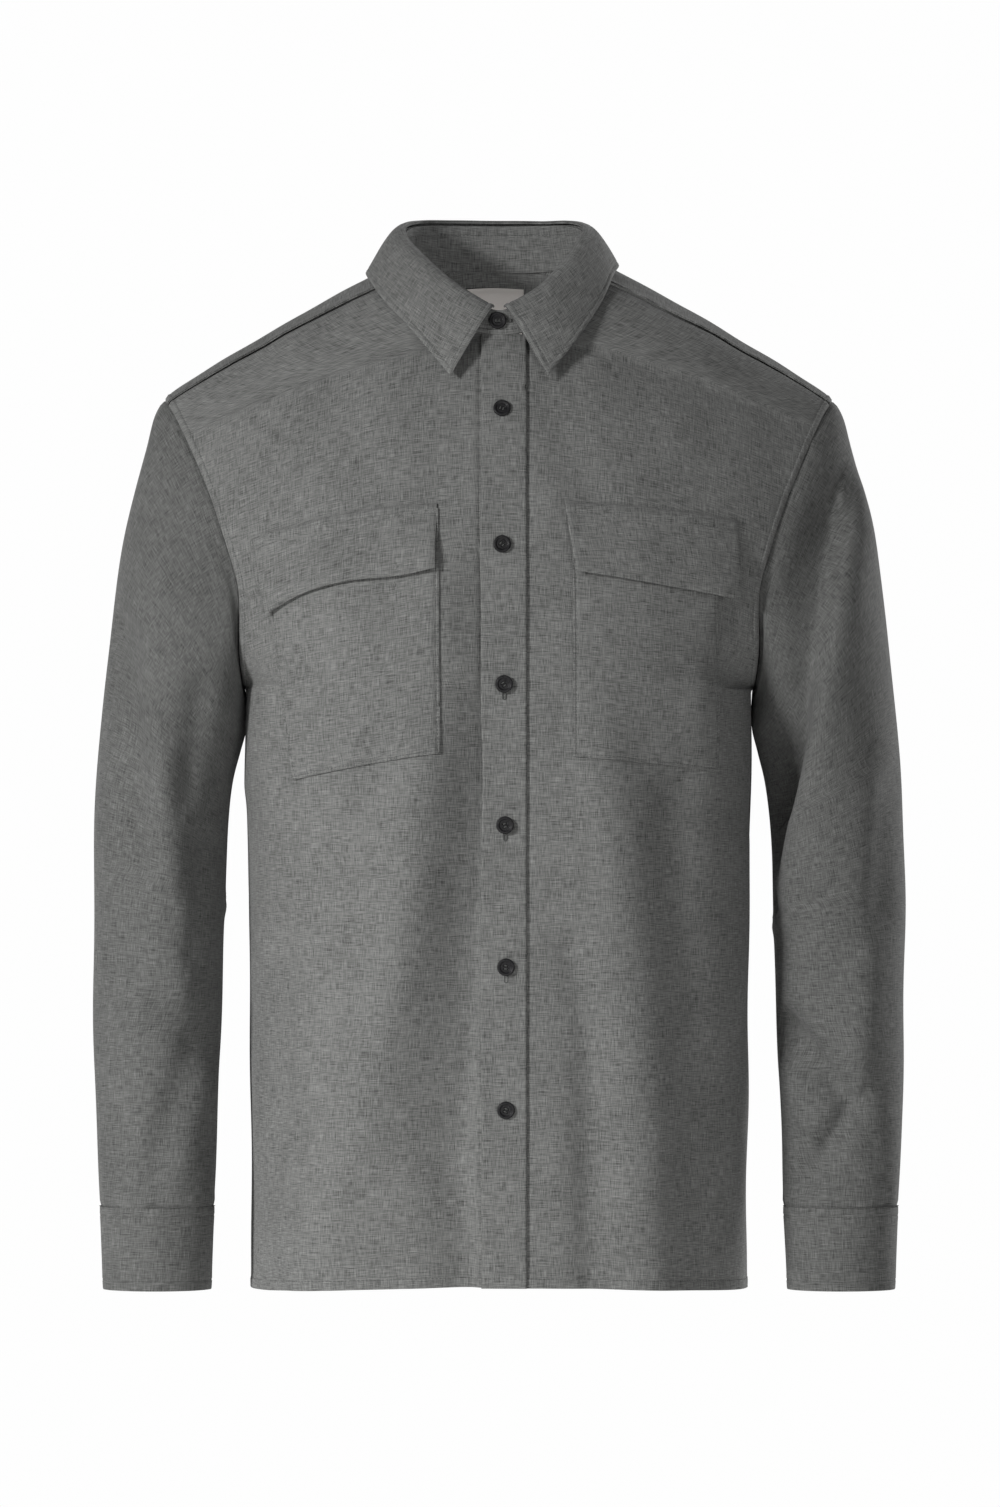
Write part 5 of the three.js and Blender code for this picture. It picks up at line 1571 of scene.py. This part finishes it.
def button_places():
    """Name, point, normal and height over the cloth of every button: stand, placket and cuffs."""
    spot = np.array(STAND_BUTTON, float)
    yield "button_1", lapped_stand(*spot), normal_of(lapped_stand, *spot, True), 0.4
    front = CLOTHS[LEFT, "front"]
    for number, x, z in zip(*PLACKET_BUTTONS.values()):
        a, at = place_seen_at(front, x, z, 0.02, 1)
        yield f"button_{int(number)}", front(a, at), normal_of(front, a, at, False), 2.6
    spot = np.array([CUFF_BUTTON_TURN, 0.5])
    for side, label in SIDE_NAMES.items():
        yield f"cuff_button_{label}", CLOTHS[side, "cuff"](*spot), cloth_normal(side, "cuff", *spot), 1.6


def build_buttons():
    """All buttons, each with the thread that holds it, and the worked buttonholes beneath them."""
    diameter = bpy.context.scene.shirt_sizes.button_diameter / MM
    front = CLOTHS[LEFT, "front"]
    loops = []
    for k, (name, point, normal, lift) in enumerate(button_places()):
        point, normal = np.ravel(point), np.ravel(normal)
        turned = np.radians(17 * k + 6)
        across = unit(np.cross([0, 0, 1.0], normal))
        up = np.cross(normal, across)
        tilt = up * np.cos(turned) + across * np.sin(turned) if k else up
        centre = point + normal * lift
        finish_piece(button_mesh(f"{name}_disc", centre, normal, tilt, diameter), "button", "button", name)
        x = unit(np.cross(tilt, normal))
        y = np.cross(normal, x)
        loops += [(thread_loop(centre, normal, x, y, side), x) for side in (-1, 1)]
        if 0 < k < 7:
            hole = buttonhole_path(centre - up * 2.4, -up, across, 17.5, HOLE_WIDE)
            a, at = place_seen_at(front, hole[:, 0], hole[:, 2], 0.02, 1)
            hole = front(a, at) + normal_of(front, a, at, False) * 2.25
        else:
            raised = centre + normal * (0.0 if k else 0.35) + across * 1.5
            hole = buttonhole_path(raised, across, up, 16.5, HOLE_WIDE)
        loops.append((hole, normal))
    vertices, faces, used = [], [], 0
    for path, up in loops:
        rings, quads = tube(path, THREAD_RADIUS, up)
        vertices.append(rings)
        faces.append(quads + used)
        used += len(rings)
    piece = make_mesh("button_threads", np.concatenate(vertices), np.concatenate(faces))
    finish_piece(piece, "thread", "cloth")


def build_stitches():
    """Every stitch of the shirt, along the lines that the pieces have kept."""
    sizes = bpy.context.scene.shirt_sizes
    piece = stitch_mesh(STITCH_RUNS, sizes.stitch_pitch / MM, sizes.stitch_length / MM, sizes.thread / MM)
    finish_piece(piece, "thread", "cloth")


# Stage: the lights and the camera are placed in metres, the floor in millimetres.

MIDDLE = (0.0, 0.0, -0.36)
# Name, place, target, size, the setting that gives its power, and its share of that power
LIGHTS = (
    ("key", (-2.65, -2.6, 0.75), (-1.85, -1.8, -5), 0.7, "key_power", 1),
    ("fill", (1.4, -3.6, -0.6), (0, 0, -0.5), 1.4, "fill_power", 1),
    ("neck", (-0.004, -0.005, -0.075), (-0.004, 0.07, -0.025), 0.02, "neck_power", 1),
    ("back", (2.7, 2.3, 0.8), MIDDLE, 1.2, "back_power", 1),
    ("back_fill", (-1.6, 3.4, 0.4), MIDDLE, 2.0, "back_power", 0.35),
)
FLOOR_HALF, FLOOR_CELLS = 1900, 8
SENSOR, CAMERA_AWAY, VIEW_HIGH = 36, 7.0, 1.1063


def area_light(name, place, target, size, power):
    """A square soft light at a place, facing a target."""
    data = bpy.data.lights.new(name, "AREA")
    data.shape, data.size, data.energy = "SQUARE", size, power
    light = bpy.data.objects.new(name, data)
    light.location = place
    light.rotation_euler = (Vector(target) - Vector(place)).to_track_quat("-Z", "Y").to_euler()
    bpy.context.scene.collection.objects.link(light)


def build_floor(height):
    """A level floor of square cells, almost white and faintly uneven in tone."""
    t = np.linspace(-FLOOR_HALF, FLOOR_HALF, FLOOR_CELLS + 1)
    x, y = np.meshgrid(t, t)
    index = grid_index(FLOOR_CELLS + 1, FLOOR_CELLS + 1)
    floor = make_mesh("floor", stack(x, y, height).reshape(-1, 3), cells(index))
    shader = Shader("pale_floor", 0.9)
    grain = shader.noise(shader.object_place(), 6.0, 3.0, 0.5)
    shader.set(Base_Color=shader.mixed(grain, (0.80, 0.80, 0.79), (0.84, 0.84, 0.83)))
    floor.data.materials.append(shader.material)
    floor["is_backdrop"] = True


def build_surround(strength):
    """White to the camera, and a weaker white light on the shirt."""
    world = bpy.data.worlds.new("surround")
    bpy.context.scene.world = world
    world.use_nodes = True
    tree = world.node_tree
    tree.nodes.clear()
    output, seen, lit, pick, path = (
        tree.nodes.new(f"ShaderNode{kind}")
        for kind in ("OutputWorld", "Background", "Background", "MixShader", "LightPath")
    )
    for background, white, power in ((seen, 0.99, 1.0), (lit, 1, strength)):
        background.inputs["Color"].default_value = (white, white, white, 1)
        background.inputs["Strength"].default_value = power
    tree.links.new(path.outputs["Is Camera Ray"], pick.inputs["Fac"])
    tree.links.new(lit.outputs[0], pick.inputs[1])
    tree.links.new(seen.outputs[0], pick.inputs[2])
    tree.links.new(pick.outputs[0], output.inputs["Surface"])


def build_stage():
    """A pale floor below the shirt, a white surround, soft lights and the camera."""
    stage = bpy.context.scene.shirt_stage
    build_floor(stage.floor_height / MM)
    for name, place, target, size, setting, share in LIGHTS:
        area_light(name, place, target, size, getattr(stage, setting) * share)
    build_surround(stage.surround)
    data = bpy.data.cameras.new("view")
    data.sensor_fit, data.sensor_height, data.sensor_width = "VERTICAL", SENSOR, SENSOR
    data.lens = SENSOR * CAMERA_AWAY / VIEW_HIGH
    data.clip_start, data.clip_end = 0.1, 60
    camera = bpy.data.objects.new("view", data)
    camera.location = (0.0007, -CAMERA_AWAY, -0.3578)
    camera.rotation_euler = (math.radians(90), 0, 0)
    bpy.context.scene.collection.objects.link(camera)
    bpy.context.scene.camera = camera
    bpy.context.scene.view_settings.view_transform = "Standard"


# Sizes and colours that a user would change


def length_setting(name, description, default, low, high, precision=4):
    return bpy.props.FloatProperty(
        name=name, description=description, default=default, min=low, max=high,
        unit="LENGTH", precision=precision,
    )


def colour_setting(name, description, default):
    return bpy.props.FloatVectorProperty(
        name=name, description=description, default=default, size=3, min=0, max=1, subtype="COLOR",
    )


def power_setting(name, description, default):
    return bpy.props.FloatProperty(
        name=name, description=description, default=default, min=0, subtype="POWER",
    )


class ShirtSizes(bpy.types.PropertyGroup):
    button_diameter: length_setting("Button diameter", "Diameter of every button", 0.0127, 0.009, 0.0135)
    stitch_pitch: length_setting(
        "Stitch pitch", "From the start of one stitch to the start of the next", 0.003, 0.002, 0.006
    )
    stitch_length: length_setting(
        "Stitch length", "Length of thread that shows in one stitch", 0.0022, 0.001, 0.005
    )
    thread: length_setting("Thread", "Half the thickness of the sewing thread", 0.00026, 0.0001, 0.0006, 5)


class ShirtColours(bpy.types.PropertyGroup):
    cloth_dark: colour_setting("Dark yarn", "Darkest fibres of the grey cloth", (0.045, 0.046, 0.044))
    cloth_light: colour_setting("Light yarn", "Lightest fibres of the grey cloth", (0.300, 0.302, 0.294))
    # Painted shade: how much darker the copy of the cloth on the sleeves and cuffs is than the body's.
    sleeve_painted_shade: bpy.props.FloatProperty(
        name="Sleeve shade", description="Brightness of the sleeves' cloth beside the body's",
        default=0.72, min=0.3, max=1.5,
    )
    thread: colour_setting("Thread", "Colour of the sewing thread", (0.085, 0.087, 0.084))


class ShirtStage(bpy.types.PropertyGroup):
    floor_height: length_setting("Floor height", "Height of the floor under the shirt", -1.25, -3, -0.8)
    key_power: power_setting("Key light", "Power of the main light, to the left of the camera", 236)
    fill_power: power_setting("Fill light", "Power of the weaker light on the right", 22)
    back_power: power_setting("Back light", "Power of the light behind the shirt", 84)
    neck_power: power_setting(
        "Neck light", "Power of the small light inside the neck, below the line of sight", 0.021
    )
    surround: bpy.props.FloatProperty(
        name="Surround", description="Brightness of the white surround on the shirt",
        default=0.15, min=0,
    )


def on_each_side(*builders):
    """Runs builders in order, each for the wearer's right and then for the left."""
    for build in builders:
        for side in (RIGHT, LEFT):
            build(side)


class SHIRT_OT_fronts(bpy.types.Operator):
    """Makes the two fronts"""
    bl_idname = "shirt.fronts"
    bl_label = "Fronts"

    def execute(self, context):
        on_each_side(build_front)
        return {"FINISHED"}


class SHIRT_OT_back(bpy.types.Operator):
    """Makes the back and the yoke"""
    bl_idname = "shirt.back"
    bl_label = "Back and yoke"

    def execute(self, context):
        build_back()
        build_yoke()
        return {"FINISHED"}


class SHIRT_OT_sleeves(bpy.types.Operator):
    """Makes the two sleeves and their cuffs"""
    bl_idname = "shirt.sleeves"
    bl_label = "Sleeves and cuffs"

    def execute(self, context):
        on_each_side(build_sleeve, build_cuff)
        return {"FINISHED"}


class SHIRT_OT_placket(bpy.types.Operator):
    """Makes the button placket"""
    bl_idname = "shirt.placket"
    bl_label = "Button placket"

    def execute(self, context):
        build_placket()
        return {"FINISHED"}


class SHIRT_OT_pockets(bpy.types.Operator):
    """Makes the two chest pockets and their flaps"""
    bl_idname = "shirt.pockets"
    bl_label = "Pockets and flaps"

    def execute(self, context):
        on_each_side(build_pocket, build_flap)
        return {"FINISHED"}


class SHIRT_OT_collar(bpy.types.Operator):
    """Makes the collar stand, the collar leaf and the blank neck label"""
    bl_idname = "shirt.collar"
    bl_label = "Collar and label"

    def execute(self, context):
        build_stand()
        build_leaf()
        build_label()
        return {"FINISHED"}


class SHIRT_OT_buttons(bpy.types.Operator):
    """Makes the buttons, their threads and the buttonholes"""
    bl_idname = "shirt.buttons"
    bl_label = "Buttons"

    def execute(self, context):
        build_buttons()
        return {"FINISHED"}


class SHIRT_OT_stitches(bpy.types.Operator):
    """Sews along every line that the pieces have kept"""
    bl_idname = "shirt.stitches"
    bl_label = "Stitches"

    def execute(self, context):
        build_stitches()
        return {"FINISHED"}


class SHIRT_OT_stage(bpy.types.Operator):
    """Makes the floor, the lights, the white surround and the camera"""
    bl_idname = "shirt.stage"
    bl_label = "Stage"

    def execute(self, context):
        build_stage()
        return {"FINISHED"}


OPERATORS = (
    SHIRT_OT_stage, SHIRT_OT_fronts, SHIRT_OT_back, SHIRT_OT_sleeves, SHIRT_OT_placket,
    SHIRT_OT_pockets, SHIRT_OT_collar, SHIRT_OT_buttons, SHIRT_OT_stitches,
)
GROUPS = (ShirtSizes, ShirtColours, ShirtStage)


class SHIRT_PT_panel(bpy.types.Panel):
    """Lists the shirt's sizes, colours and pieces"""
    bl_label = "Shirt"
    bl_idname = "SHIRT_PT_panel"
    bl_space_type = "VIEW_3D"
    bl_region_type = "UI"
    bl_category = "Shirt"

    def draw(self, context):
        for group in ("shirt_sizes", "shirt_colours", "shirt_stage"):
            box = self.layout.box()
            for name in getattr(context.scene, group).__annotations__:
                box.prop(getattr(context.scene, group), name)
        for operator in OPERATORS:
            self.layout.operator(operator.bl_idname)


def register():
    for kind in (*GROUPS, *OPERATORS, SHIRT_PT_panel):
        bpy.utils.register_class(kind)
    bpy.types.Scene.shirt_sizes = bpy.props.PointerProperty(type=ShirtSizes)
    bpy.types.Scene.shirt_colours = bpy.props.PointerProperty(type=ShirtColours)
    bpy.types.Scene.shirt_stage = bpy.props.PointerProperty(type=ShirtStage)


def unregister():
    del bpy.types.Scene.shirt_sizes, bpy.types.Scene.shirt_colours, bpy.types.Scene.shirt_stage
    for kind in reversed((*GROUPS, *OPERATORS, SHIRT_PT_panel)):
        bpy.utils.unregister_class(kind)


def main():
    register()
    for operator in OPERATORS:
        group, name = operator.bl_idname.split(".")
        getattr(getattr(bpy.ops, group), name)()
    bounds = [[list(map(float, corner)) for corner in box] for box in (CAD_BOX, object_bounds())]


if __name__ == "__main__":
    main()
